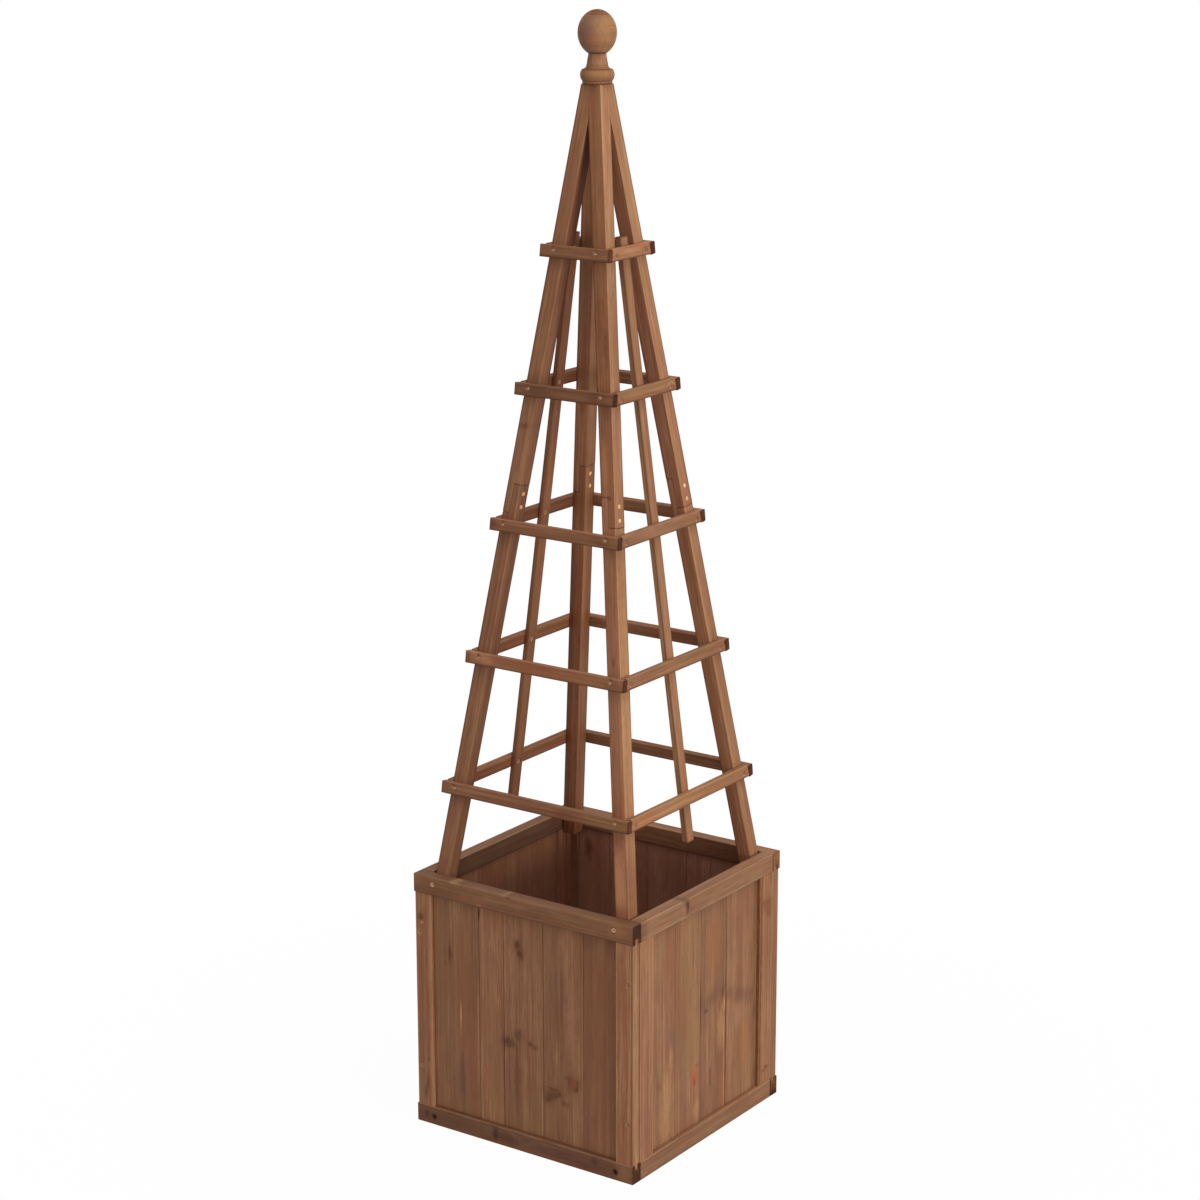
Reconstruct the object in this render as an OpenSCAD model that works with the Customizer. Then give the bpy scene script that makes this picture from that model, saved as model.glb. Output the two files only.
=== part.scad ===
// Square wooden planter box with a four-legged pyramid trellis and a turned finial.
// Millimetres. Z up, the box stands on Z = 0, and the trellis axis is the Z axis.
// The front panel faces -Y and the right panel faces +X.

/* [Planter box] */
// Outside width and depth of the box
box_w = 380; // [320:1:480]
// Height of the rim above the floor
box_h = 382; // [300:1:480]
// Thickness of the rails, which is the thickness of each panel
rail_t = 19; // [17:0.5:24]
// Height of the top and bottom rails
rail_h = 27.5; // [24:0.5:40]
// Width of the stiles of the front and back panels
front_stile_w = 27; // [22:0.5:45]
// Width of the stiles of the left and right panels
side_stile_w = 32; // [22:0.5:45]
// How far the stiles lie behind the outer face of the rails
stile_setback = 1; // [0.5:0.1:2]
// How far the front and back rails run past their stiles
rail_overrun = 2; // [0:0.5:5]

/* [Tongue and groove boards] */
// Thickness of the boards
board_t = 8; // [7:0.5:9]
// Width of the boards in the front and back panels
front_board_w = 69; // [55:1:90]
// Width of the boards in the left and right panels
side_board_w = 66; // [55:1:90]
// Width of the one narrow board in the front and back panels
narrow_board_w = 43; // [34:1:55]
// Least width that shows of a board beside a stile
least_board_w = 28; // [24:1:32]
// How far the boards lie behind the outer face of the stiles
board_recess = 5.5; // [3:0.5:6]
// Sideways place of one seam on the front and back panels
front_seam = 33; // [20:1:40]
// Sideways place of one seam on the left and right panels
side_seam = -10; // [-30:1:30]
// Depth of the groove in rails and stiles
groove_d = 8; // [6:0.5:10]
// Length of the tongue on each board
tongue_l = 4; // [2:0.5:6]
// Thickness of the tongue on each board
tongue_t = 3; // [2:0.1:3.5]
// Size of the small bevel along each seam
seam_bevel = 0.6; // [0.2:0.1:1.5]

/* [Floor] */
// Side of the square cleats that carry the floor slats
cleat_s = 22; // [16:1:26]
// Thickness of the floor slats
floor_t = 9; // [6:0.5:16]
// Number of floor slats
floor_count = 5; // [3:1:7]
// Drain gap between neighbouring floor slats
floor_gap = 6; // [4:0.5:10]

/* [Trellis legs] */
// Side of the square legs
leg_w = 22; // [18:0.5:26]
// How far the feet of the legs reach down inside the rim
leg_drop = 32; // [29:1:60]
// Height of the leg tops above the rim
trellis_h = 1110; // [900:5:1300]
// Distance from the axis to the leg faces at the top
apex_r = 15.8; // [13:0.1:17]
// Height of the middle of the leg splices above the rim
splice_h = 543; // [520:1:560]
// Length of the half lap in each leg
splice_l = 42; // [36:1:50]
// Diameter of the splice dowels
dowel_d = 6; // [5:0.5:8]
// Distance between the two dowels of a splice
dowel_pitch = 19; // [16:1:22]

/* [Trellis battens] */
// Height of the battens
batten_h = 17.5; // [16:0.5:24]
// Thickness of the battens
batten_t = 10; // [8:0.5:14]
// How far the front and back battens run past the side battens
batten_overrun = 1; // [0.5:0.5:4]
// Height of the middle of the lowest batten row above the rim
first_row_h = 126; // [90:1:160]
// Distance from one batten row to the next
row_pitch = 190; // [150:1:205]
// Width of the middle slats
slat_w = 18; // [12:0.5:20]
// Thickness of the middle slats
slat_t = 8; // [6:0.5:10]
// How far the middle slats run below the lowest row
slat_below = 64; // [30:1:80]
// How far the middle slats run above the highest row
slat_above = 21; // [14:1:30]

/* [Finial] */
// Largest radius of the ball
ball_r = 26.6; // [22:0.1:30]
// Half the height that the ball would have as a full oval
ball_half_h = 30.9; // [26:0.1:36]
// Radius of the neck where the ball sits on it
neck_r = 12.1; // [10:0.1:14]
// Height of the neck above the top of the collar
neck_h = 21; // [16:0.5:28]
// Largest radius of the collar
collar_r = 23.4; // [21:0.1:28]
// Height of the collar
collar_h = 15; // [12:0.5:18]
// Radius of the base disc
disc_r = 20.4; // [18:0.1:20.5]
// Thickness of the base disc
disc_h = 4.5; // [3:0.5:8]

/* [Fasteners] */
// Shank diameter of the wood screws
screw_d = 3.5; // [3:0.1:4]
// Head diameter of the wood screws
screw_head_d = 7; // [6:0.1:8]
// How deep the screw heads lie below the wood in their countersinks
screw_sink = 1.2; // [0.3:0.1:1.5]
// Width of the wings of the cross in each screw head
drive_w = 0.9; // [0.6:0.1:1.2]
// Span of the cross in each screw head
drive_span = 3.8; // [2.5:0.1:4.2]
// Depth of the cross in each screw head
drive_depth = 1.2; // [0.8:0.1:1.4]
// Length of the batten screws
batten_screw_l = 25; // [20:1:28]
// Length of the screws that join the box and hold the legs
box_screw_l = 38; // [32:1:42]
// Length of the screws that hold the middle slats
slat_screw_l = 14; // [12:0.5:15]
// Diameter of the screw that holds the finial
finial_screw_d = 5; // [4:0.1:6]
// Length of the screw that holds the finial
finial_screw_l = 60; // [40:1:80]

/* [Hidden] */
$fn = 48;

row_count = 5;
// Play between a tongue, a tenon or a board edge and its groove
groove_play = 0.2;
// Play around a screw or dowel in its hole
hole_play = 0.1;
// Gap between the faces of neighbouring boards
seam_gap = 0.4;
// How much the floor slats stay clear of the panels
floor_play = 2;
// Larger than any piece, for cutting planes
far = 4 * (box_w + box_h + trellis_h);

stain = "#7a543c";
stain_dark = "#5f3d2a";
stain_light = "#966e52";
bare_wood = "#d7aa7d";
screw_metal = "#b9b2a6";

// Sizes of the box panels, measured across each panel
half_w = box_w / 2;
inner_half = half_w - rail_t;
front_stile_out = half_w - rail_overrun;
front_stile_in = front_stile_out - front_stile_w;
side_stile_out = inner_half;
side_stile_in = side_stile_out - side_stile_w;
board_y = stile_setback + board_recess;
stile_h = box_h - 2 * rail_h;

// The legs touch the rails inside the rim and meet at the top
foot_z = box_h - leg_drop;
apex_z = box_h + trellis_h;
lean_per_mm = (inner_half - apex_r) / (apex_z - foot_z);
lean = atan(lean_per_mm);
leg_level_w = leg_w / cos(lean);
splice_z = box_h + splice_h;
leg_tilt = atan(sqrt(2) * lean_per_mm);

// Distance from the axis to the outer leg faces at a height
function leg_face(z) = apex_r + lean_per_mm * (apex_z - z);
// Distance from the axis to the middle of a leg at a height
function leg_mid(z) = leg_face(z) - leg_level_w / 2;
// Height of the middle of a batten row, with row 1 at the bottom
function row_z(row) = box_h + first_row_h + (row - 1) * row_pitch;

top_row_z = row_z(row_count);
slat_bottom_z = row_z(1) - slat_below;
slat_top_z = top_row_z + slat_above;
slat_level_t = slat_t / cos(lean);

// Screws on the front and back faces sit above the row's middle, those on the sides below it
batten_screw_rise = batten_h / 6;
// Screws through the front and back panels
leg_screw_z = box_h - rail_h * 0.42;
cleat_z = cleat_s / 2 + 1;
corner_screw_x = inner_half + rail_t / 2;
corner_screw_low = box_h * 0.23;
corner_screw_high = box_h - corner_screw_low;

// Sets a panel piece from its own frame, with x across, y inwards and z up, into the box
module on_panel(turn) {
    rotate([0, 0, turn]) translate([0, -half_w, 0]) children();
}

module drive_cross() {
    square([drive_span, drive_w], center = true);
    square([drive_w, drive_span], center = true);
}

// One wood screw along +Y under a surface at y = 0, or its countersunk hole where play is given
module wood_screw(length, play = 0) {
    shank_r = screw_d / 2;
    // The head is a 45 degree cone, on which radius and depth always add up to this
    cone = screw_head_d / 2 + screw_sink;
    top = play > 0 ? -play : screw_sink;
    rotate([-90, 0, 0]) difference() {
        rotate_extrude()
            polygon([[0, top], [cone - top + play, top], [shank_r + play, cone - shank_r],
                     [shank_r + play, length - screw_d], [0, length + play]]);
        if (play == 0) translate([0, 0, screw_sink])
            linear_extrude(2 * drive_depth, center = true) drive_cross();
    }
}

// Box panels

// Screws at one corner of a front or back panel: leg, cleat, and two into the side panel
module corner_screws(play = 0) {
    translate([leg_mid(leg_screw_z), 0, leg_screw_z]) wood_screw(box_screw_l, play);
    translate([inner_half - cleat_s / 2, 0, cleat_z]) wood_screw(box_screw_l, play);
    translate([corner_screw_x, stile_setback, corner_screw_low]) wood_screw(box_screw_l, play);
    translate([corner_screw_x, stile_setback, corner_screw_high]) wood_screw(box_screw_l, play);
}

module panel_screws(play = 0) {
    for (side = [0, 1]) mirror([side, 0, 0]) corner_screws(play);
}

module all_box_screws(play = 0) {
    on_panel(0) panel_screws(play);
    on_panel(180) panel_screws(play);
}

module rail_groove(length, z) {
    translate([-length / 2 - 1, board_y - groove_play / 2, z])
        cube([length + 2, board_t + groove_play, groove_d + 1]);
}

module top_rail(length) {
    difference() {
        translate([-length / 2, 0, box_h - rail_h]) cube([length, rail_t, rail_h]);
        rail_groove(length, box_h - rail_h - 1);
    }
}

module bottom_rail(length) {
    difference() {
        translate([-length / 2, 0, 0]) cube([length, rail_t, rail_h]);
        rail_groove(length, rail_h - groove_d);
    }
}

// A stile on the +x side, with a stub tenon at each end and a groove for the boards
module stile(x_in, x_out) {
    tenon_l = groove_d - groove_play;
    difference() {
        union() {
            translate([x_in, stile_setback, rail_h])
                cube([x_out - x_in, rail_t - stile_setback, stile_h]);
            translate([x_in, board_y, rail_h - tenon_l])
                cube([x_out - x_in, board_t, stile_h + 2 * tenon_l]);
        }
        translate([x_in - 1, board_y - groove_play / 2, 0])
            cube([groove_d + 1, board_t + groove_play, box_h]);
    }
}

module front_stile() {
    stile(front_stile_in, front_stile_out);
}

module side_stile() {
    stile(side_stile_in, side_stile_out);
}

// Outline of one board from x0 to x1, seen from above, with its tongue on the +x edge
function board_outline(x0, x1, first, last) =
    let (tongue_y = (board_t - tongue_t) / 2)
    let (slot_y = tongue_y - groove_play / 2)
    let (slot_x = x0 + tongue_l + groove_play)
    concat(
        [[x0 + (first ? 0 : seam_bevel), 0], [x1 - (last ? 0 : seam_bevel), 0]],
        last ? [[x1, board_t]] :
            [[x1, seam_bevel], [x1, tongue_y], [x1 + tongue_l, tongue_y],
             [x1 + tongue_l, board_t - tongue_y], [x1, board_t - tongue_y], [x1, board_t]],
        first ? [[x0, board_t]] :
            [[x0, board_t], [x0, board_t - slot_y], [slot_x, board_t - slot_y],
             [slot_x, slot_y], [x0, slot_y], [x0, seam_bevel]]);

// The boards that fill one panel, slid into the grooves all round
module boards(stile_in, seam_x, board_w, narrow_w) {
    field = stile_in + groove_d - groove_play;
    steps = ceil(2 * field / board_w);
    seams = [for (i = [-steps : steps])
             let (x = seam_x + i * board_w + (i < -1 ? board_w - narrow_w : 0))
             if (abs(x) < stile_in - least_board_w) x];
    edges = concat([-field], seams, [field]);
    end_gap = groove_play;
    for (i = [0 : len(edges) - 2]) {
        first = i == 0;
        last = i == len(edges) - 2;
        x0 = edges[i] + (first ? 0 : seam_gap / 2);
        x1 = edges[i + 1] - (last ? 0 : seam_gap / 2);
        translate([0, board_y, rail_h - groove_d + end_gap])
            linear_extrude(stile_h + 2 * (groove_d - end_gap))
            polygon(board_outline(x0, x1, first, last));
    }
}

module front_boards() {
    boards(front_stile_in, front_seam, front_board_w, narrow_board_w);
}

module side_boards() {
    boards(side_stile_in, side_seam, side_board_w, side_board_w);
}

module front_rail_at(turn, top) {
    difference() {
        on_panel(turn) if (top) top_rail(box_w); else bottom_rail(box_w);
        all_box_screws(hole_play);
    }
}

module side_rail_at(turn, top) {
    on_panel(turn) if (top) top_rail(2 * inner_half); else bottom_rail(2 * inner_half);
}

module front_stile_at(turn, left) {
    difference() {
        on_panel(turn) mirror([left ? 1 : 0, 0, 0]) front_stile();
        all_box_screws(hole_play);
    }
}

module side_stile_at(turn, left) {
    difference() {
        on_panel(turn) mirror([left ? 1 : 0, 0, 0]) side_stile();
        all_box_screws(hole_play);
    }
}

// Floor

module cleat() {
    difference() {
        translate([inner_half - cleat_s, -inner_half, cleat_z - cleat_s / 2])
            cube([cleat_s, 2 * inner_half, cleat_s]);
        all_box_screws(hole_play);
    }
}

module floor_slats() {
    color(stain_dark) {
        length = 2 * (inner_half - floor_play);
        slat = (length - (floor_count - 1) * floor_gap) / floor_count;
        for (i = [0 : floor_count - 1])
            translate([-length / 2, -length / 2 + i * (slat + floor_gap), cleat_z + cleat_s / 2])
                cube([length, slat, floor_t]);
    }
}

// Trellis, drawn in the quarter where x and y are positive and mirrored into the others

module in_quarter(left, front) {
    mirror([left ? 1 : 0, 0, 0]) mirror([0, front ? 1 : 0, 0]) children();
}

// A leaning layer that follows the leg faces, between two depths under those faces
function leaning_strip(depth_out, depth_in, z_low, z_high) = [
    [leg_face(z_low) - depth_in, z_low], [leg_face(z_low) - depth_out, z_low],
    [leg_face(z_high) - depth_out, z_high], [leg_face(z_high) - depth_in, z_high]];

// Such a layer under the right faces, as wide in Y as asked
module right_layer(depth_out, depth_in, z_low, z_high, width) {
    rotate([90, 0, 0]) linear_extrude(width, center = true)
        polygon(leaning_strip(depth_out, depth_in, z_low, z_high));
}

// Such a layer under the back faces, as wide in X as asked
module back_layer(depth_out, depth_in, z_low, z_high, width) {
    rotate([90, 0, 90]) linear_extrude(width, center = true)
        polygon(leaning_strip(depth_out, depth_in, z_low, z_high));
}

// The whole space between the front and back leg faces
module between_front_and_back(z_low, z_high) {
    rotate([90, 0, 90]) linear_extrude(far, center = true)
        polygon([[-leg_face(z_low), z_low], [leg_face(z_low), z_low],
                 [leg_face(z_high), z_high], [-leg_face(z_high), z_high]]);
}

module leg_bar() {
    intersection() {
        right_layer(0, leg_level_w, foot_z, apex_z, far);
        back_layer(0, leg_level_w, foot_z, apex_z, far);
        translate([0, 0, foot_z]) cube([half_w, half_w, apex_z - foot_z]);
    }
}

// Everything above a cut that is square to the leg, at a distance along the leg from the splice
module above_square_cut(along) {
    translate([leg_mid(splice_z), leg_mid(splice_z), splice_z])
        rotate(a = leg_tilt, v = [1, -1, 0])
        translate([-far / 2, -far / 2, along]) cube(far);
}

// Two dowels through the splice, square to the right face and as long as the leg is thick
module quarter_dowels(play = 0) {
    for (along = [-dowel_pitch / 2, dowel_pitch / 2])
        let (z = splice_z + along * cos(lean))
        translate([leg_face(z), leg_mid(z), z]) rotate([0, -90 - lean, 0])
            translate([0, 0, -play]) cylinder(h = leg_w + 2 * play, d = dowel_d + 2 * play);
}

// Places things on the right face at a height, with y inwards and z up the slope
module on_right_face(z) {
    translate([leg_face(z), 0, z]) rotate([0, 0, 90]) rotate([-lean, 0, 0]) children();
}

module on_back_face(z) {
    translate([0, leg_face(z), z]) rotate([0, 0, 180]) rotate([-lean, 0, 0]) children();
}

// The two screws of one batten row at a leg, one through each batten
module quarter_row_screws(row, play = 0) {
    z = row_z(row);
    on_right_face(z) translate([leg_mid(z), -batten_t, -batten_screw_rise])
        wood_screw(batten_screw_l, play);
    on_back_face(z) translate([-leg_mid(z), -batten_t, batten_screw_rise])
        wood_screw(batten_screw_l, play);
}

// A screw from the inside through the middle slat into each batten
module slat_row_screw(row, play = 0) {
    on_right_face(row_z(row)) translate([0, slat_t, 0]) rotate([0, 0, 180])
        wood_screw(slat_screw_l, play);
}

module finial_pin(play = 0) {
    length = finial_screw_l;
    translate([0, 0, apex_z - length / 2 - play])
        cylinder(h = length + 2 * play, d = finial_screw_d + 2 * play);
}

module leg_holes() {
    for (row = [1 : row_count]) quarter_row_screws(row, hole_play);
    quarter_dowels(hole_play);
    mirror([0, 1, 0]) on_panel(0) corner_screws(hole_play);
    finial_pin(hole_play);
}

// The lower piece ends in a tongue that keeps the inner half of the leg
module lower_leg() {
    color(stain_light) difference() {
        leg_bar();
        above_square_cut(splice_l / 2);
        intersection() {
            above_square_cut(-splice_l / 2);
            right_layer(-1, leg_level_w / 2, foot_z, apex_z, far);
        }
        leg_holes();
    }
}

// The upper piece keeps the outer half beside that tongue, and is mitred at the top
module upper_leg() {
    color(stain) difference() {
        intersection() {
            leg_bar();
            above_square_cut(-splice_l / 2);
        }
        difference() {
            right_layer(leg_level_w / 2, leg_level_w + 1, foot_z, apex_z, far);
            above_square_cut(splice_l / 2);
        }
        leg_holes();
    }
}

// A side batten, cut to fit between the front and back battens
module side_batten(row) {
    z = row_z(row);
    color(stain_light) difference() {
        intersection() {
            on_right_face(z) translate([-half_w, -batten_t, -batten_h / 2])
                cube([2 * half_w, batten_t, batten_h]);
            between_front_and_back(z - batten_h, z + batten_h);
        }
        for (front = [false, true]) in_quarter(false, front) quarter_row_screws(row, hole_play);
        slat_row_screw(row, hole_play);
    }
}

// A front or back batten, long enough to cover the ends of the side battens
module end_batten(row) {
    z = row_z(row);
    length = 2 * (leg_face(z) + batten_t / cos(lean) + batten_overrun);
    color(stain) difference() {
        on_back_face(z) translate([-length / 2, -batten_t, -batten_h / 2])
            cube([length, batten_t, batten_h]);
        for (left = [false, true]) in_quarter(left, false) quarter_row_screws(row, hole_play);
    }
}

// The middle slat lies against the inner side of the side battens
module middle_slat() {
    color(stain_light) difference() {
        right_layer(0, slat_level_t, slat_bottom_z, slat_top_z, slat_w);
        for (row = [1 : row_count]) slat_row_screw(row, hole_play);
    }
}

// Finial, turned in one piece

// Points of an arc around a centre, with separate radii across and along the axis
function arc(centre, r_across, r_along, from, to, steps) = [
    for (i = [0 : steps]) let (a = from + (to - from) * i / steps)
    centre + [r_across * cos(a), r_along * sin(a)]];

module finial() {
    collar_edge = collar_r - collar_h / 6;
    collar_top = disc_h + collar_h;
    bulge = collar_r - collar_edge;
    bulge_r = (pow(collar_h / 2, 2) + pow(bulge, 2)) / (2 * bulge);
    bulge_a = asin(collar_h / 2 / bulge_r);
    // The cove rises from the collar to the foot of the neck, which tapers upwards
    neck_taper = 2.4;
    cove_r = collar_edge - neck_r - neck_taper;
    cove_h = 7;
    // The ball sits where its oval is as wide as the neck
    neck_top = collar_top + neck_h;
    seat_a = acos(neck_r / ball_r);
    ball_mid = neck_top + ball_half_h * sin(seat_a);
    profile = concat(
        [[0, 0], [disc_r, 0], [disc_r, disc_h]],
        arc([collar_r - bulge_r, disc_h + collar_h / 2], bulge_r, bulge_r, -bulge_a, bulge_a, 10),
        arc([collar_edge, collar_top + cove_h], cove_r, cove_h, -90, -180, 10),
        [[neck_r, neck_top]],
        arc([0, ball_mid], ball_r, ball_half_h, -seat_a + 4, 86, 34),
        [[0, ball_mid + ball_half_h]]);
    color(stain_light) translate([0, 0, apex_z]) difference() {
        rotate_extrude($fn = 96) polygon(profile);
        translate([0, 0, -apex_z]) finial_pin(hole_play);
    }
}

// Fasteners

module finial_screw() {
    color(screw_metal) finial_pin();
}

module splice_dowels() {
    color(bare_wood) for (left = [false, true], front = [false, true])
        in_quarter(left, front) quarter_dowels();
}

module batten_screws() {
    color(screw_metal) for (left = [false, true], front = [false, true], row = [1 : row_count])
        in_quarter(left, front) quarter_row_screws(row);
}

module slat_screws() {
    color(screw_metal) for (left = [false, true], row = [1 : row_count])
        in_quarter(left, false) slat_row_screw(row);
}

module box_screws() {
    color(screw_metal) all_box_screws();
}

color(stain) front_rail_at(0, true);  // front_top_rail
color(stain_dark) front_rail_at(0, false);  // front_bottom_rail
color(stain) front_stile_at(0, true);  // front_left_stile
color(stain) front_stile_at(0, false);  // front_right_stile
color(stain) front_rail_at(180, true);  // back_top_rail
color(stain_dark) front_rail_at(180, false);  // back_bottom_rail
color(stain) front_stile_at(180, true);  // back_left_stile
color(stain) front_stile_at(180, false);  // back_right_stile
color(stain_light) side_rail_at(-90, true);  // left_top_rail
color(stain_light) side_rail_at(-90, false);  // left_bottom_rail
color(stain_light) side_stile_at(-90, true);  // left_left_stile
color(stain_light) side_stile_at(-90, false);  // left_right_stile
color(stain_light) side_rail_at(90, true);  // right_top_rail
color(stain_light) side_rail_at(90, false);  // right_bottom_rail
color(stain_light) side_stile_at(90, true);  // right_left_stile
color(stain_light) side_stile_at(90, false);  // right_right_stile
color(stain) on_panel(0) front_boards();
color(stain) on_panel(180) front_boards();  // back_boards
color(stain) on_panel(-90) side_boards();  // left_boards
color(stain) on_panel(90) side_boards();  // right_boards
color(stain_dark) mirror([1, 0, 0]) cleat();  // left_cleat
color(stain_dark) cleat();  // right_cleat
floor_slats();
in_quarter(true, true) lower_leg();  // lower_leg_front_left
in_quarter(false, true) lower_leg();  // lower_leg_front_right
in_quarter(true, false) lower_leg();  // lower_leg_back_left
in_quarter(false, false) lower_leg();  // lower_leg_back_right
in_quarter(true, true) upper_leg();  // upper_leg_front_left
in_quarter(false, true) upper_leg();  // upper_leg_front_right
in_quarter(true, false) upper_leg();  // upper_leg_back_left
in_quarter(false, false) upper_leg();  // upper_leg_back_right
mirror([0, 1, 0]) end_batten(1);  // front_batten_1
mirror([0, 1, 0]) end_batten(2);  // front_batten_2
mirror([0, 1, 0]) end_batten(3);  // front_batten_3
mirror([0, 1, 0]) end_batten(4);  // front_batten_4
mirror([0, 1, 0]) end_batten(5);  // front_batten_5
end_batten(1);  // back_batten_1
end_batten(2);  // back_batten_2
end_batten(3);  // back_batten_3
end_batten(4);  // back_batten_4
end_batten(5);  // back_batten_5
mirror([1, 0, 0]) side_batten(1);  // left_batten_1
mirror([1, 0, 0]) side_batten(2);  // left_batten_2
mirror([1, 0, 0]) side_batten(3);  // left_batten_3
mirror([1, 0, 0]) side_batten(4);  // left_batten_4
mirror([1, 0, 0]) side_batten(5);  // left_batten_5
side_batten(1);  // right_batten_1
side_batten(2);  // right_batten_2
side_batten(3);  // right_batten_3
side_batten(4);  // right_batten_4
side_batten(5);  // right_batten_5
mirror([1, 0, 0]) middle_slat();  // left_middle_slat
middle_slat();  // right_middle_slat
finial();
finial_screw();
splice_dowels();
batten_screws();
slat_screws();
box_screws();
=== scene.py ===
"""Looks of a square wooden planter with a pyramid trellis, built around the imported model."""

import math

import bmesh
import bpy
from mathutils import Matrix, Vector


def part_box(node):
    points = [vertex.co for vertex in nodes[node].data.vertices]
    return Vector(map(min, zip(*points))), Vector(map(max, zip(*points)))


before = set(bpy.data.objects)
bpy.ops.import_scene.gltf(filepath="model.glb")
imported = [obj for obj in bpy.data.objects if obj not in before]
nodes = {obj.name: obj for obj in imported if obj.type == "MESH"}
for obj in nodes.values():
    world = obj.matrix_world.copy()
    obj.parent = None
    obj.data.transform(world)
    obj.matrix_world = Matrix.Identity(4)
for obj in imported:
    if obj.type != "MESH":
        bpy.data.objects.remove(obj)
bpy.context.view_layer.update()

# Sizes of the part that the looks follow, in metres
INNER = 0.171
RAIL_H = 0.0275
BOX_H = 0.382
LEG_W = 0.022
APEX_R = 0.0158
APEX_Z = 1.492
FOOT_Z = 0.350
SLOPE = (INNER - APEX_R) / (APEX_Z - FOOT_Z)
LEAN = math.atan(SLOPE)
LEG_HALF = LEG_W / math.cos(LEAN) / 2
SPLICE_Z = 0.925
BATTEN_H = 0.0175
BATTEN_T = 0.010
BATTEN_OVERRUN = 0.001
FIRST_ROW_Z = 0.508
ROW_PITCH = 0.190
ROWS = 5
SLAT_T = 0.008
SCREW_RISE = BATTEN_H / 6
SCREW_MOUTH = 0.0049
HEAD_R = 0.004
LEG_SCREW_Z = BOX_H - RAIL_H * 0.42
CLEAT_SCREW_Z = 0.012
CLEAT_SCREW_X = 0.160
STILE_SCREW_X = 0.1805
STILE_SCREW_Z = (0.0879, 0.2941)
SPLICE_HALF_LENGTH = 0.021
FRONT_SEAMS = (-0.079, -0.036, 0.033, 0.102)
SIDE_SEAMS = (-0.076, -0.010, 0.056)
FRONT_OPENING = 0.161
SIDE_OPENING = 0.139


def leg_face(z):
    """Distance from the axis to the outer leg faces at a height."""
    return APEX_R + SLOPE * (APEX_Z - z)


def leg_middle(z):
    """Distance from the axis to the middle of a leg at a height, sideways or forwards."""
    return leg_face(z) - LEG_HALF


def row_z(row):
    """Height of a row of battens, counted from one at the bottom."""
    return FIRST_ROW_Z + (row - 1) * ROW_PITCH


class Graph:
    """Adds shader nodes to one material or world and links them."""

    def __init__(self, owner):
        self.owner = owner
        owner.use_nodes = True
        self.tree = owner.node_tree
        self.tree.nodes.clear()

    def node(self, kind, inputs=(), **settings):
        made = self.tree.nodes.new(kind)
        for key, value in settings.items():
            setattr(made, key, value)
        for key, value in dict(inputs).items():
            self.put(made.inputs[key], value)
        return made

    def put(self, socket, value):
        if isinstance(value, bpy.types.NodeSocket):
            self.tree.links.new(value, socket)
        else:
            socket.default_value = value

    def math(self, operation, a, b=0.0, c=0.0, clamp=False):
        made = self.node("ShaderNodeMath", operation=operation, use_clamp=clamp)
        for socket, value in zip(made.inputs, (a, b, c)):
            self.put(socket, value)
        return made.outputs[0]

    def vector(self, operation, a, b=(0.0, 0.0, 0.0)):
        made = self.node("ShaderNodeVectorMath", operation=operation)
        self.put(made.inputs[0], a)
        self.put(made.inputs[1], b)
        single = operation in ("DOT_PRODUCT", "LENGTH")
        return made.outputs["Value" if single else "Vector"]

    def scaled(self, vector, factors):
        return self.vector("MULTIPLY", vector, factors)

    def parts(self, vector):
        return self.node("ShaderNodeSeparateXYZ", {"Vector": vector}).outputs

    def joined(self, x, y, z):
        return self.node("ShaderNodeCombineXYZ", {"X": x, "Y": y, "Z": z}).outputs[0]

    def noise_node(self, vector, detail, roughness):
        return self.node("ShaderNodeTexNoise", {
            "Vector": vector, "Scale": 1.0, "Detail": detail, "Roughness": roughness})

    def noise(self, vector, detail=2.0, roughness=0.5):
        return self.noise_node(vector, detail, roughness).outputs["Fac"]

    def remap(self, value, low, high, to_low=0.0, to_high=1.0, smooth=False):
        made = self.node("ShaderNodeMapRange", {
            "Value": value, "From Min": low, "From Max": high, "To Min": to_low, "To Max": to_high})
        if smooth:
            made.interpolation_type = "SMOOTHSTEP"
        return made.outputs["Result"]

    def swing(self, noise, amount):
        """Spreads a noise, which mostly lies between 0.3 and 0.7, from minus to plus an amount."""
        return self.remap(noise, 0.3, 0.7, -amount, amount)

    def fade(self, distance, start, end, amount=1.0, smooth=True):
        """An amount that falls to nothing between two distances."""
        return self.remap(distance, start, end, amount, 0.0, smooth)

    def ramp(self, factor, stops, interpolation="LINEAR"):
        made = self.node("ShaderNodeValToRGB", {"Fac": factor})
        ramp = made.color_ramp
        ramp.interpolation = interpolation
        while len(ramp.elements) < len(stops):
            ramp.elements.new(0.5)
        for element, (place, colour) in zip(ramp.elements, stops):
            element.position = place
            element.color = (*colour, 1.0)
        return made.outputs["Color"]

    def mix(self, factor, a, b, blend="MIX"):
        made = self.node("ShaderNodeMix", data_type="RGBA", blend_type=blend, clamp_factor=True)
        self.put(made.inputs["Factor"], factor)
        for key, value in (("A", a), ("B", b)):
            socket = [s for s in made.inputs if s.name == key and s.type == "RGBA"][0]
            if isinstance(value, tuple) and len(value) == 3:
                value = (*value, 1.0)
            self.put(socket, value)
        return [s for s in made.outputs if s.type == "RGBA"][0]

    def mix_shader(self, factor, a, b):
        made = self.node("ShaderNodeMixShader")
        for socket, value in zip(made.inputs, (factor, a, b)):
            self.put(socket, value)
        return made.outputs[0]

    def surface(self, shader):
        kind = "World" if isinstance(self.owner, bpy.types.World) else "Material"
        out = self.node(f"ShaderNodeOutput{kind}")
        self.tree.links.new(shader, out.inputs["Surface"])
        return self.owner


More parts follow.
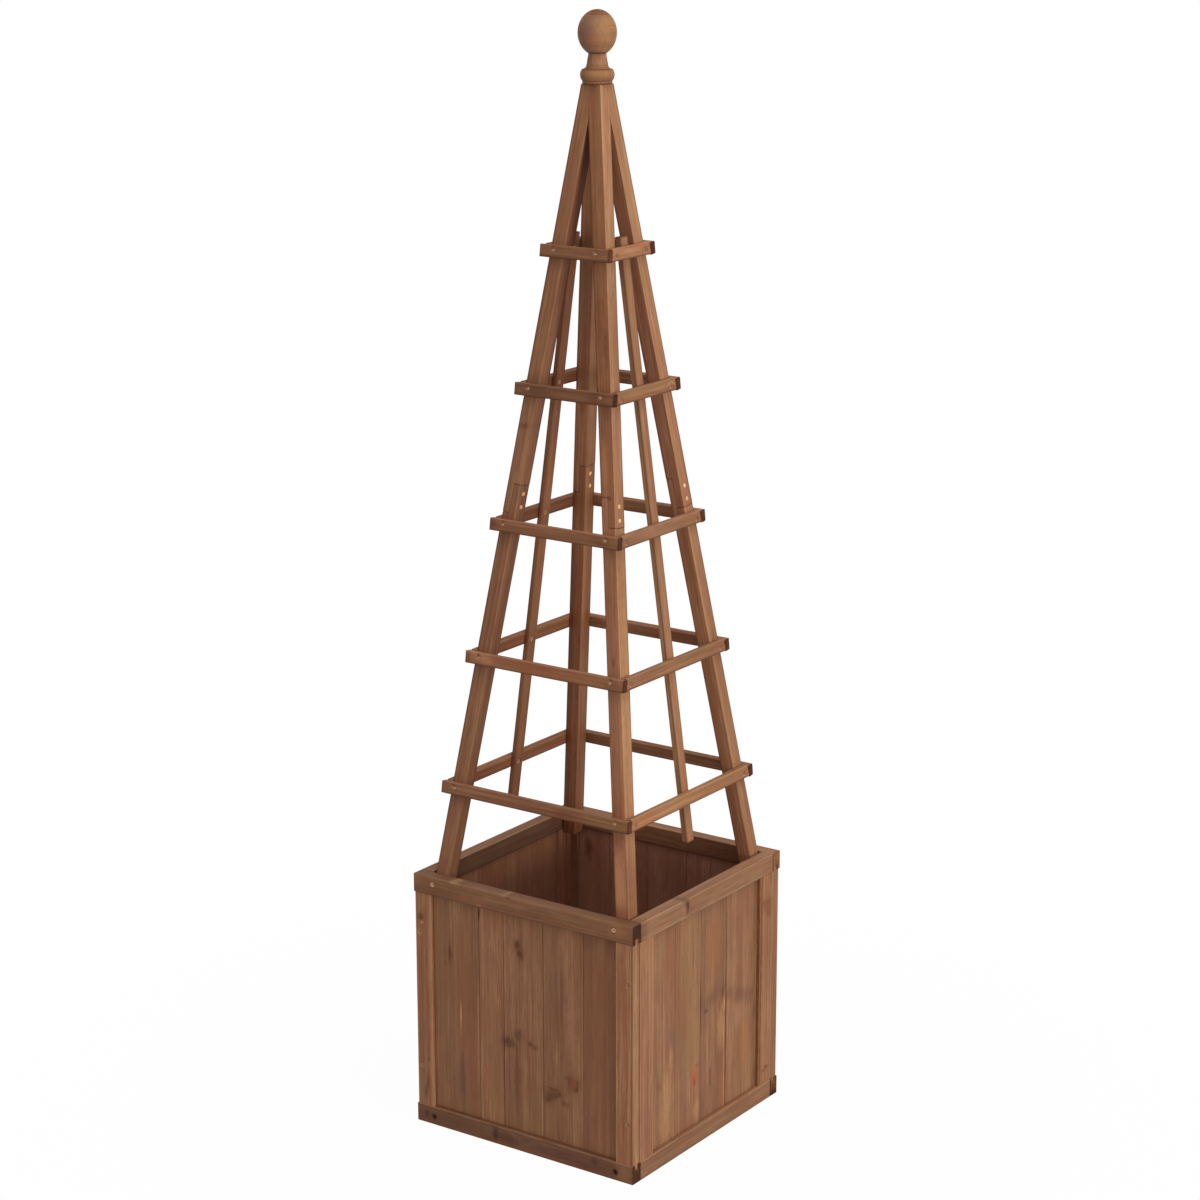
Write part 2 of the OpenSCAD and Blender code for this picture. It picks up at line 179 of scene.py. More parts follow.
def linear(red, green, blue):
    """A colour given in screen values from 0 to 255, as the shaders want it."""
    return tuple(
        c / 12.92 if c <= 0.04045 else ((c + 0.055) / 1.055) ** 2.4
        for c in (red / 255, green / 255, blue / 255))


def grey_level(value):
    return (value, value, value)


STAIN_LIGHT = linear(172, 123, 87)
STAIN_MID = linear(144, 98, 69)
STAIN_DARK = linear(107, 67, 44)
STAIN_RED = linear(148, 86, 58)
STAIN_OLIVE = linear(140, 104, 64)
STAIN_DUSK = linear(120, 87, 72)
STAIN_ORANGE = linear(152, 89, 54)
STAIN_PINK = linear(152, 104, 83)
# Dark of knots and joints, also used for painted shade on arrises, round screw mouths and in grooves
KNOT_AND_SHADE_DARK = linear(78, 39, 18)
KNOT_RED = linear(134, 70, 46)
KNOT_BRIGHT = linear(136, 64, 38)
# Dark of the seams, also used for painted shade in the corner of a frame
GAP_AND_SHADE_DARK = linear(84, 46, 24)
ORANGE = linear(170, 98, 60)
TAN = linear(186, 134, 90)
PINK = linear(174, 120, 96)
BROWN = linear(102, 60, 33)
RUST = linear(100, 48, 30)
EMBER = linear(168, 88, 56)
PURPLE = linear(104, 66, 50)
SMOKE = linear(114, 75, 55)
BARE_WOOD = linear(205, 160, 116)
HEAD_STAIN = linear(146, 101, 72)
HEAD_PALE = linear(224, 182, 152)
HEAD_TAN = linear(186, 134, 94)
HEAD_DARK = linear(44, 24, 12)
HEAD_BRASS = linear(190, 144, 106)
HEAD_STEEL = linear(176, 172, 164)

UP = (0.0, 0.0, 1.0)
FORWARDS = (0.0, -1.0, 0.0)
RIGHTWARDS = (1.0, 0.0, 0.0)

# Directions across the face, into the depth, and along the grain
UPRIGHT_FRONT = ((1, 0, 0), (0, 1, 0), (0, 0, 1))
UPRIGHT_SIDE = ((0, 1, 0), (1, 0, 0), (0, 0, 1))
LEVEL_FRONT = ((0, 0, 1), (0, 1, 0), (1, 0, 0))
LEVEL_SIDE = ((0, 0, 1), (1, 0, 0), (0, 1, 0))

# Scales of the noises, for each metre along the same three directions
BEND_SCALE = (9.0, 9.0, 2.2)
RING_SCALE = (220.0, 220.0, 9.0)
KNOT_EDGE_SCALE = (170.0, 170.0, 80.0)
STREAK_SCALE = (58.0, 58.0, 1.6)
FIBRE_SCALE = (420.0, 420.0, 34.0)
CLOUD_SCALE = (17.0, 17.0, 6.0)
STRAND_SCALE = (230.0, 230.0, 4.0)
TOOL_SCALE = (3.0, 3.0, 170.0)
RUB_SCALE = (160.0, 160.0, 24.0)
SPOT_SCALE = (900.0, 900.0, 900.0)
# How the seed, and the lot of a board, move the wood to another place in the log
SEED_STEP = (1.7, 2.3, 3.1)
LOT_STEP = (31.0, 17.0, 23.0)
PITH_STEP = (0.11, 0.03, 0.0)
# How far the rings bend
BEND = (0.012, 0.012, 0.0)
# How dark the wood gets through one year, which ends with the late wood
LATE_WOOD = tuple((place, grey_level(dark)) for place, dark in (
    (0.0, 0.15), (0.45, 0.35), (0.82, 1.0), (0.97, 0.10)))
# End grain is darker, redder and duller. It sets in between two amounts of facing along the grain
END_GRAIN_TINT = (1.0, 0.80, 0.62)
END_GRAIN_FACING = (0.75, 0.92)
END_GRAIN_SHEEN = 0.10
SHEEN = 0.25
# A half length so great that no arris shows at the ends
NO_END = 2.0


def away_from(g, local, wobble, middle, half):
    """Distance from the middle of an oval on the face, one on its outline, with an uneven edge."""
    offset = g.vector("SUBTRACT", local, (middle[0], 0.0, middle[1]))
    away = g.vector("LENGTH", g.scaled(offset, (1.0 / half[0], 0.0, 1.0 / half[1])))
    return g.math("ADD", away, wobble)


def wood(name, axes, centre, half, seed, tone=1.0, tint=(1.0, 1.0, 1.0), pith=(0.02, 0.05),
         taper=0.015, period=0.0031, rings=1.0, streaks=1.0, strands=0.22, seams=(), board_tones=(),
         knots=(), patches=(), holes=(), shade_and_dirt=0.30, opening=None, wear=0.5, lit=(1, 0), painted_arris_shade=0.5,
         end=0.45, painted_face_light=(), joint=None, shade_lines=(), turned=0.0):
    """Stained softwood with rings, fibres, knots, worn edges and dark end grain, worked out in metres.

    axes are the directions across the face, into the depth and along the grain.
    half is the half size along each, for the worn edges, or None for none of them.
    seed picks the place in the log, and tone and tint multiply the colour.
    pith is the middle of the rings, across and into the depth, and taper their widening along it.
    period is the width of a ring. rings, streaks and strands are the contrast of the rings, of the
    broad streaks and of the fine ones.
    seams part a panel into boards that differ, and board_tones multiply the colour of each.
    knots are (across, along, half across, half along, heart colour) in the part's own frame.
    patches are (across, along, half across, half along, amount, colour), and holes (across, along)
    with the share of painted shade round their mouths.
    opening is (half width, lowest, highest, share of painted shade) of a frame whose corner gets painted
    shade.
    lit picks the worn arrises by their sign across and into the depth. wear is how far their stain
    is gone, the arris shade how dark the painted shade on the others is, and end the brightness of end
    grain.
    Painted light and shade are (direction, factors) of the faces turned one way, whose colour they
    scale.
    joint is (middle, direction along the leg, half length) of a lap splice that shows as a line.
    Shade lines are (height, half width, amount) of painted shade round a turned piece, and turned its
    tool marks.
    """
    g = Graph(bpy.data.materials.new(name))
    across, depth, along = (Vector(axis) for axis in axes)
    centre = Vector(centre)
    face_middle = (centre.dot(across), centre.dot(along))
    place = g.vector("SUBTRACT", g.node("ShaderNodeTexCoord").outputs["Object"], tuple(centre))
    u, v, w = (g.vector("DOT_PRODUCT", place, tuple(axis)) for axis in (across, depth, along))
    local = g.joined(u, v, w)

    def on_face(spot):
        return (spot[0] - face_middle[0], spot[1] - face_middle[1])

    # Each board of a panel takes its own place in the log
    shift = g.joined(*(seed * step for step in SEED_STEP))
    board = 0.0
    lot_offset = (0.0, 0.0, 0.0)
    for seam in seams:
        board = g.math("ADD", board, g.math("GREATER_THAN", u, seam))
    if seams:
        lot = g.node("ShaderNodeTexWhiteNoise", {"Vector": g.joined(board, seed, 0.0)},
                     noise_dimensions="3D").outputs["Color"]
        shift = g.vector("ADD", shift, g.scaled(lot, LOT_STEP))
        lot_offset = g.scaled(g.vector("SUBTRACT", lot, (0.5, 0.5, 0.5)), PITH_STEP)
    moved = g.vector("ADD", local, shift)

    # Growth rings about a pith line, bent by slow noise and pushed aside by knots
    bend = g.noise_node(g.scaled(moved, BEND_SCALE), 2.0, 0.5).outputs["Color"]
    bend = g.scaled(g.vector("SUBTRACT", bend, (0.5, 0.5, 0.5)), BEND)
    bend = g.vector("ADD", bend, lot_offset)
    centred = g.vector("ADD", g.vector("ADD", local, bend), (-pith[0], -pith[1], 0.0))
    radius = g.vector("LENGTH", g.scaled(centred, (1.0, 1.0, 0.0)))
    ring = g.math("DIVIDE", g.math("MULTIPLY_ADD", w, taper, radius), period)
    ring = g.math("MULTIPLY_ADD", g.noise(g.scaled(moved, RING_SCALE)), 0.55, ring)
    wobble = 0.0
    if knots or patches:
        wobble = g.swing(g.noise(g.scaled(moved, KNOT_EDGE_SCALE), 3.0, 0.6), 0.50)
    knot_distance = []
    for knot in knots:
        away = away_from(g, local, wobble, on_face(knot), knot[2:4])
        ring = g.math("MULTIPLY_ADD", g.fade(away, 0.8, 3.2), knot[2] / period * 0.9, ring)
        knot_distance.append(away)
    late = g.ramp(g.math("FRACT", ring), LATE_WOOD)
    year = g.noise(g.joined(g.math("MULTIPLY", ring, 0.23), seed, 0.0))
    ring_share = g.math("MULTIPLY", late, g.remap(year, 0.3, 0.7, 0.25, 1.0))

    # Streaks of stain along the fibres, and slow patches
    streak = g.noise(g.scaled(moved, STREAK_SCALE), 4.0, 0.66)
    fibre = g.noise(g.scaled(moved, FIBRE_SCALE), 2.0, 0.6)
    cloud = g.noise_node(g.scaled(moved, CLOUD_SCALE), 4.0, 0.6)
    strand = g.noise_node(g.scaled(moved, STRAND_SCALE), 2.0, 0.6)
    swings = [(streak, 0.28 * streaks), (strand.outputs["Fac"], strands), (fibre, 0.20),
              (cloud.outputs["Fac"], 0.20)]
    if turned:
        swings.append((g.noise(g.scaled(moved, TOOL_SCALE), 3.0, 0.6), turned))
    share = g.math("MULTIPLY_ADD", ring_share, 0.22 * rings, 0.42)
    for noise, amount in swings:
        share = g.math("ADD", share, g.swing(noise, amount))
    share = g.math("ADD", share, 0.0, clamp=True)
    colour = g.ramp(share, ((0.0, STAIN_LIGHT), (0.5, STAIN_MID), (1.0, STAIN_DARK)))
    cloud_red, cloud_green, cloud_blue = g.parts(cloud.outputs["Color"])
    strand_red, strand_green, strand_blue = g.parts(strand.outputs["Color"])
    for channel, amount, stain in ((cloud_red, 0.45, STAIN_RED), (cloud_green, 0.45, STAIN_OLIVE),
                                   (cloud_blue, 0.30, STAIN_DUSK), (strand_red, 0.40, STAIN_ORANGE),
                                   (strand_green, 0.40, STAIN_OLIVE), (strand_blue, 0.30, STAIN_PINK)):
        colour = g.mix(g.remap(channel, 0.50, 0.70, 0.0, amount), colour, stain)
    if board_tones:
        # The ramp holds half of each tone, so that none is above one
        step = 1.0 / len(board_tones)
        stops = [(i * step, grey_level(level / 2)) for i, level in enumerate(board_tones)]
        levels = g.ramp(g.math("MULTIPLY_ADD", board, step, step / 2), stops, "CONSTANT")
        colour = g.mix(1.0, colour, g.scaled(levels, (2.0, 2.0, 2.0)), "MULTIPLY")
    for patch in patches:
        away = away_from(g, local, g.math("MULTIPLY", wobble, 0.6), on_face(patch), patch[2:4])
        colour = g.mix(g.fade(away, 0.25, 1.50, patch[4]), colour, patch[5])
    for knot, away in zip(knots, knot_distance):
        colour = g.mix(g.fade(away, 0.8, 2.8, 0.40), colour, STAIN_DARK)
        colour = g.mix(g.fade(away, 0.2, 1.40, 0.65), colour, knot[4])
        rim = g.math("ABSOLUTE", g.math("SUBTRACT", away, 1.0))
        ragged = g.math("MULTIPLY", g.fade(rim, 0.0, 0.45), g.remap(strand_blue, 0.42, 0.60, 0.05, 0.60))
        colour = g.mix(ragged, colour, KNOT_AND_SHADE_DARK)

    # Dark seams and splice lines; painted shade round the mouths of the screw holes, in the grooves of a
    # turned piece and in the corner of the frame
    for seam in seams:
        beside = g.math("ABSOLUTE", g.math("SUBTRACT", u, seam))
        colour = g.mix(g.fade(beside, 0.0004, 0.0014, 0.20, smooth=False), colour, GAP_AND_SHADE_DARK)
    for hole in holes:
        away = away_from(g, local, 0.0, on_face(hole), (SCREW_MOUTH, SCREW_MOUTH))
        colour = g.mix(g.fade(away, 0.90, 1.25, shade_and_dirt, smooth=False), colour, KNOT_AND_SHADE_DARK)
    for height, spread, amount in shade_lines:
        beside = g.math("ABSOLUTE", g.math("SUBTRACT", w, height - face_middle[1]))
        colour = g.mix(g.fade(beside, spread * 0.3, spread, amount), colour, KNOT_AND_SHADE_DARK)
    if joint:
        joint_middle, direction, half_length = joint
        start = (Vector(joint_middle) - centre).dot(Vector(direction))
        run = g.math("SUBTRACT", g.vector("DOT_PRODUCT", place, direction), start)
        cut = g.math("MULTIPLY_ADD", run, g.math("SIGN", u), half_length)
        past = g.math("SUBTRACT", g.math("ABSOLUTE", run), half_length)
        lap = g.math("MAXIMUM", g.math("ABSOLUTE", u), past)
        patchy = g.remap(strand_red, 0.35, 0.60, 0.25, 1.0)
        for line, width, amount in ((g.math("ABSOLUTE", cut), 0.0016, 0.75), (lap, 0.0010, 0.35)):
            seen = g.math("MULTIPLY", g.fade(line, 0.0003, width, amount, smooth=False), patchy)
            colour = g.mix(seen, colour, KNOT_AND_SHADE_DARK)
    if opening:
        half_width, lowest, highest, amount = opening
        beside = g.math("SUBTRACT", half_width, g.math("ABSOLUTE", u))
        below = g.math("SUBTRACT", w, lowest - face_middle[1])
        above = g.math("SUBTRACT", highest - face_middle[1], w)
        corner = g.math("MINIMUM", beside, g.math("MINIMUM", below, above))
        colour = g.mix(g.fade(corner, 0.0, 0.0035, amount, smooth=False), colour, GAP_AND_SHADE_DARK)

    # Worn arrises, where a rub has taken the stain off, and painted shade on the other arrises and round
    # the ends
    if half:
        gap_u, gap_v, gap_w = (
            g.math("SUBTRACT", size, g.math("ABSOLUTE", part)) for size, part in zip(half, (u, v, w)))
        arris = g.math("MAXIMUM", gap_u, gap_v)
        worn = 1.0
        for sign, part in zip(lit, (u, v)):
            if sign:
                lit_half = g.math("GREATER_THAN", g.math("MULTIPLY", part, sign), 0.0)
                worn = g.math("MULTIPLY", worn, lit_half)
        rub = g.noise(g.scaled(moved, RUB_SCALE), 3.0, 0.6)
        reach = g.remap(rub, 0.35, 0.70, 0.0008, 0.0042)
        edge = g.math("SUBTRACT", 1.0, g.math("DIVIDE", arris, reach), clamp=True)
        edge = g.math("MULTIPLY", edge, g.math("MULTIPLY", worn, wear))
        colour = g.mix(edge, colour, BARE_WOOD)
        shadow = g.fade(arris, 0.0004, 0.0030, painted_arris_shade, smooth=False)
        colour = g.mix(g.math("MULTIPLY", shadow, g.math("SUBTRACT", 1.0, worn)), colour, KNOT_AND_SHADE_DARK)
        rim = g.math("MAXIMUM", g.math("MINIMUM", gap_u, gap_v), gap_w)
        colour = g.mix(g.fade(rim, 0.0004, 0.0026, painted_arris_shade, smooth=False), colour, KNOT_AND_SHADE_DARK)

    # End grain drinks more stain
    normal = g.node("ShaderNodeNewGeometry").outputs["Normal"]
    facing = g.math("ABSOLUTE", g.vector("DOT_PRODUCT", normal, tuple(along.normalized())))
    dark = tuple(end * c for c in END_GRAIN_TINT)
    shaded = g.mix(g.remap(facing, *END_GRAIN_FACING), (1.0, 1.0, 1.0), dark)
    colour = g.mix(1.0, colour, shaded, "MULTIPLY")
    # Painted light and shade: the faces turned one way have their colour scaled lighter or darker, as
    # light falls on them
    for direction, factors in painted_face_light:
        towards = g.vector("DOT_PRODUCT", normal, direction)
        colour = g.mix(g.math("GREATER_THAN", towards, 0.5), colour, g.scaled(colour, factors))
    colour = g.mix(1.0, colour, tuple(tone * c for c in tint), "MULTIPLY")

    height = g.math("ADD", g.math("MULTIPLY", late, -0.35), g.math("MULTIPLY", fibre, 0.9))
    bump = g.node("ShaderNodeBump", {"Height": height, "Strength": 0.2, "Distance": 0.0004})
    rough = g.remap(g.math("ADD", ring_share, fibre), 0.3, 1.4, 0.78, 0.58)
    shader = g.node("ShaderNodeBsdfPrincipled", {
        "Base Color": colour, "Roughness": rough, "Normal": bump.outputs[0],
        "Specular IOR Level": g.remap(facing, *END_GRAIN_FACING, SHEEN, END_GRAIN_SHEEN)})
    return g.surface(shader.outputs[0])


def steel_spots(g, place):
    """Fine spots, for the pits and the dull places of steel."""
    return g.noise(g.scaled(place, SPOT_SCALE), 3.0, 0.6)


def steel(g, spots, colour, rough, metallic, sheen):
    """Finishes a material as slightly pitted steel, between two roughnesses."""
    bump = g.node("ShaderNodeBump", {"Height": spots, "Strength": 0.2, "Distance": 0.0001})
    shader = g.node("ShaderNodeBsdfPrincipled", {
        "Base Color": colour, "Roughness": g.remap(spots, 0.3, 0.7, *rough), "Metallic": metallic,
        "Normal": bump.outputs[0], "Specular IOR Level": sheen})
    return g.surface(shader.outputs[0])


def metal(name, colour, roughness, metallic=1.0, shade_and_dirt=0.4, levels=()):
    """Plated steel with dull spots. levels are (height, colour) from which the colour changes."""
    g = Graph(bpy.data.materials.new(name))
    place = g.node("ShaderNodeTexCoord").outputs["Object"]
    height = g.parts(place)[2]
    for start, other in levels:
        colour = g.mix(g.math("GREATER_THAN", height, start), colour, other)
    spots = steel_spots(g, place)
    dull = g.mix(g.remap(spots, 0.40, 0.65, 0.0, shade_and_dirt), colour, g.scaled(colour, grey_level(0.35)))
    return steel(g, spots, dull, (roughness - 0.08, roughness + 0.14), metallic, SHEEN)


def batten_heads(name):
    """Stained screw heads with a bright spot in the middle, round the axes of the batten screws."""
    g = Graph(bpy.data.materials.new(name))
    place = g.node("ShaderNodeTexCoord").outputs["Object"]
    x, y, z = g.parts(place)
    x, y = (g.math("ABSOLUTE", part) for part in (x, y))
    on_front = g.math("GREATER_THAN", y, x)
    rise = g.remap(on_front, 0.0, 1.0, -SCREW_RISE, SCREW_RISE)
    rows = g.math("DIVIDE", g.math("SUBTRACT", g.math("SUBTRACT", z, rise), FIRST_ROW_Z), ROW_PITCH)
    up = g.math("MULTIPLY", g.math("SUBTRACT", rows, g.math("ROUND", rows)), ROW_PITCH)
    sideways = g.math("SUBTRACT", g.math("MINIMUM", x, y),
                      g.math("MULTIPLY_ADD", z, -SLOPE, leg_middle(0.0)))
    away = g.vector("LENGTH", g.joined(sideways, up, 0.0))
    colour = g.ramp(g.remap(away, 0.0, HEAD_R), (
        (0.0, linear(236, 198, 162)), (0.32, linear(206, 162, 126)), (0.50, HEAD_STAIN),
        (0.85, linear(138, 94, 66)), (1.0, linear(110, 72, 50))))
    colour = g.mix(g.remap(on_front, 0.0, 1.0, 0.60, 0.0), colour, HEAD_STAIN)
    return steel(g, steel_spots(g, place), colour, (0.45, 0.65), 0.2, 0.5)


WELD_DISTANCE = 0.00001
SHARP_ANGLE = math.radians(50)
# How far the rounding of an edge reaches
WIDE_ROUND = 0.0009
SLAT_ROUND = 0.0008
NARROW_ROUND = 0.0006


def soften(name, width):
    """Rounds the sharp edges of a CAD piece with modifiers, which leave its mesh alone."""
    weld = nodes[name].modifiers.new("weld", "WELD")
    weld.merge_threshold = WELD_DISTANCE
    bevel = nodes[name].modifiers.new("bevel", "BEVEL")
    bevel.width = width
    bevel.segments = 2
    bevel.limit_method = "ANGLE"
    bevel.angle_limit = SHARP_ANGLE
    bevel.use_clamp_overlap = True
    # Sliding along the long thin triangles round the screw holes would fold faces over each other
    bevel.loop_slide = False


def dress(name, material):
    """Gives a CAD piece its own material in place of the one it came with."""
    slots = nodes[name].data.materials
    slots.clear()
    slots.append(material)


def box_middle(name):
    """Middle and half size of a piece's box."""
    low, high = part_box(name)
    return (low + high) / 2, (high - low) / 2


def half_along(half, axes):
    """The half size along each of three axes of the part's own frame."""
    return tuple(abs(half.dot(Vector(axis))) for axis in axes)


SEED_GAP = 1.37
seed_count = 0


def next_seed():
    """Another seed at each call, so the pieces look the same as long as their order stays."""
    global seed_count
    seed_count += 1
    return 1.0 + SEED_GAP * seed_count


# Box panels, with holes as (height, sideways) in the rails
SIDES = ("front", "back", "left", "right")
WIDE_SIDES = ("front", "back")
TOP_HOLES = tuple((LEG_SCREW_Z, sign * leg_middle(LEG_SCREW_Z)) for sign in (-1, 1))
BOTTOM_HOLES = tuple((CLEAT_SCREW_Z, sign * CLEAT_SCREW_X) for sign in (-1, 1))

# Some looks scale the colour of the faces turned one way, which paints light and shade on them
RAILS = {
    "front_top": dict(
        tone=0.79, tint=(1.0, 0.96, 0.96), wear=0.2, end=0.22, painted_face_light=((UP, grey_level(0.72)),),
        patches=(
            (0.3690, -0.1400, 0.0300, 0.0500, 0.25, BROWN),
            (0.3634, -0.1000, 0.0050, 0.0090, 0.55, ORANGE),
            (0.3630, -0.0730, 0.0050, 0.0110, 0.50, ORANGE),
            (0.3574, -0.0737, 0.0014, 0.0050, 0.60, TAN),
            (0.3812, -0.1187, 0.0012, 0.0090, 0.70, BARE_WOOD),
            (0.3815, -0.0290, 0.0010, 0.0060, 0.45, BARE_WOOD),
            (0.3800, -0.0217, 0.0018, 0.0050, 0.60, KNOT_AND_SHADE_DARK),
            (0.3690, 0.0300, 0.0060, 0.0260, 0.30, BROWN),
            (0.3690, 0.0850, 0.0060, 0.0300, 0.45, STAIN_OLIVE),
            (0.3700, 0.1650, 0.0080, 0.0180, 0.40, TAN))),
    "front_bottom": dict(
        tone=0.58, tint=(0.95, 0.91, 0.92), shade_and_dirt=0.6,
        patches=(
            (0.0140, 0.0500, 0.0070, 0.0500, 0.40, PURPLE),
            (0.0140, -0.0475, 0.0120, 0.0055, 0.90, KNOT_AND_SHADE_DARK),
            (0.0130, -0.0280, 0.0110, 0.0220, 0.65, BROWN),
            (0.0040, -0.0600, 0.0040, 0.0120, 0.45, KNOT_AND_SHADE_DARK),
            (0.0060, 0.1080, 0.0050, 0.0200, 0.50, KNOT_AND_SHADE_DARK),
            (0.0180, 0.1250, 0.0060, 0.0060, 0.45, KNOT_AND_SHADE_DARK),
            (0.0209, 0.0042, 0.0040, 0.0200, 0.50, PURPLE),
            (0.0146, -0.1731, 0.0060, 0.0040, 0.60, KNOT_AND_SHADE_DARK),
            (0.0140, 0.1760, 0.0200, 0.0140, 0.80, TAN),
            (0.0020, 0.0300, 0.0050, 0.1700, 0.45, ORANGE),
            (0.0060, 0.1000, 0.0040, 0.0300, 0.35, ORANGE))),
    "back_top": dict(
        tone=0.93, end=0.90, rings=0.5, streaks=0.6, strands=0.12,
        painted_face_light=((FORWARDS, (0.74, 0.67, 0.66)), (RIGHTWARDS, (0.90, 1.08, 1.25)))),
    "back_bottom": dict(
        tone=0.85, end=0.60, patches=((0.0010, 0.190, 0.0080, 0.0080, 0.95, KNOT_AND_SHADE_DARK),)),
    "left_top": dict(
        tone=0.82, rings=0.6, painted_face_light=((RIGHTWARDS, (0.50, 0.51, 0.50)),),
        patches=((0.370, -0.140, 0.030, 0.050, 0.45, BROWN),)),
    "left_bottom": dict(tone=0.9),
    "right_top": dict(
        tone=0.95, tint=(0.97, 1.04, 1.07), rings=0.5, streaks=0.8, wear=0.25, strands=0.14,
        patches=(
            (0.3695, -0.0560, 0.0110, 0.0065, 0.70, RUST),
            (0.3710, -0.0550, 0.0080, 0.0036, 0.90, KNOT_AND_SHADE_DARK),
            (0.3640, -0.0440, 0.0014, 0.0070, 0.60, BROWN),
            # Bare-wood lines along the lower arris: wear that also paints the highlight of that arris
            (0.3556, -0.1000, 0.0016, 0.0900, 0.50, BARE_WOOD),
            (0.3556, 0.0700, 0.0016, 0.0900, 0.50, BARE_WOOD),
            (0.3663, -0.0620, 0.0070, 0.0060, 0.35, PINK),
            (0.3740, -0.0380, 0.0080, 0.0100, 0.40, STAIN_RED),
            (0.3810, -0.0620, 0.0014, 0.0060, 0.80, KNOT_AND_SHADE_DARK),
            (0.3790, -0.1000, 0.0022, 0.0380, 0.30, TAN),
            (0.3740, -0.0900, 0.0012, 0.0300, 0.25, BROWN),
            (0.3760, 0.0600, 0.0030, 0.0700, 0.25, STAIN_OLIVE),
            (0.3700, -0.1700, 0.0200, 0.0160, 0.50, BROWN))),
    "right_bottom": dict(tone=0.93, tint=(0.97, 1.01, 0.97), rings=0.7, streaks=0.9, wear=0.3),
}
# Some looks scale the colour of the faces turned one way, which paints light and shade on them
STILES = {
    "front_left": dict(
        tone=1.10, knots=((-0.1791, 0.3180, 0.0040, 0.0040, KNOT_AND_SHADE_DARK),),
        patches=(
            (-0.1774, 0.3098, 0.0030, 0.0030, 0.40, BARE_WOOD),
            (-0.1810, 0.2950, 0.0040, 0.0060, 0.40, TAN),
            # A lighter line along the inner arris is a painted highlight
            (-0.1640, 0.2000, 0.0014, 0.1400, 0.35, TAN),
            (-0.1700, 0.0660, 0.0030, 0.0160, 0.75, RUST),
            (-0.1745, 0.0480, 0.0030, 0.0130, 0.75, RUST),
            (-0.1681, 0.0996, 0.0030, 0.0025, 0.50, KNOT_AND_SHADE_DARK))),
    "front_right": dict(
        tone=1.18, tint=(1.0, 0.99, 0.97), lit=(-1, 0), painted_face_light=((RIGHTWARDS, (0.88, 0.97, 0.95)),),
        patches=((0.165, 0.12, 0.0014, 0.10, 0.3, BROWN),)),
    "back_left": dict(tone=0.95),
    "back_right": dict(tone=1.05, lit=(-1, 0), painted_face_light=((FORWARDS, (0.88, 0.82, 0.88)),)),
    "left_left": dict(tone=1.0, painted_face_light=((RIGHTWARDS, (0.84, 0.68, 0.76)),)),
    "left_right": dict(tone=0.95),
    "right_left": dict(
        tone=1.10, tint=(1.0, 1.01, 1.04),
        patches=((-0.1660, 0.2000, 0.0030, 0.1500, 0.35, STAIN_RED),)),
    "right_right": dict(
        tone=1.04, tint=(1.0, 0.99, 0.92), knots=((0.1630, 0.3035, 0.0070, 0.0100, KNOT_RED),),
        painted_face_light=((FORWARDS, (1.10, 0.98, 0.90)),),
        patches=(
            # A painted shade strip along the inner edge of the stile, beside the boards
            (0.1415, 0.1900, 0.0032, 0.3000, 0.90, BROWN),
            (0.1500, 0.3120, 0.0060, 0.0060, 0.55, PURPLE),
            (0.1600, 0.0520, 0.0060, 0.0030, 0.60, KNOT_AND_SHADE_DARK),
            (0.1520, 0.0480, 0.0050, 0.0030, 0.50, KNOT_AND_SHADE_DARK))),
}
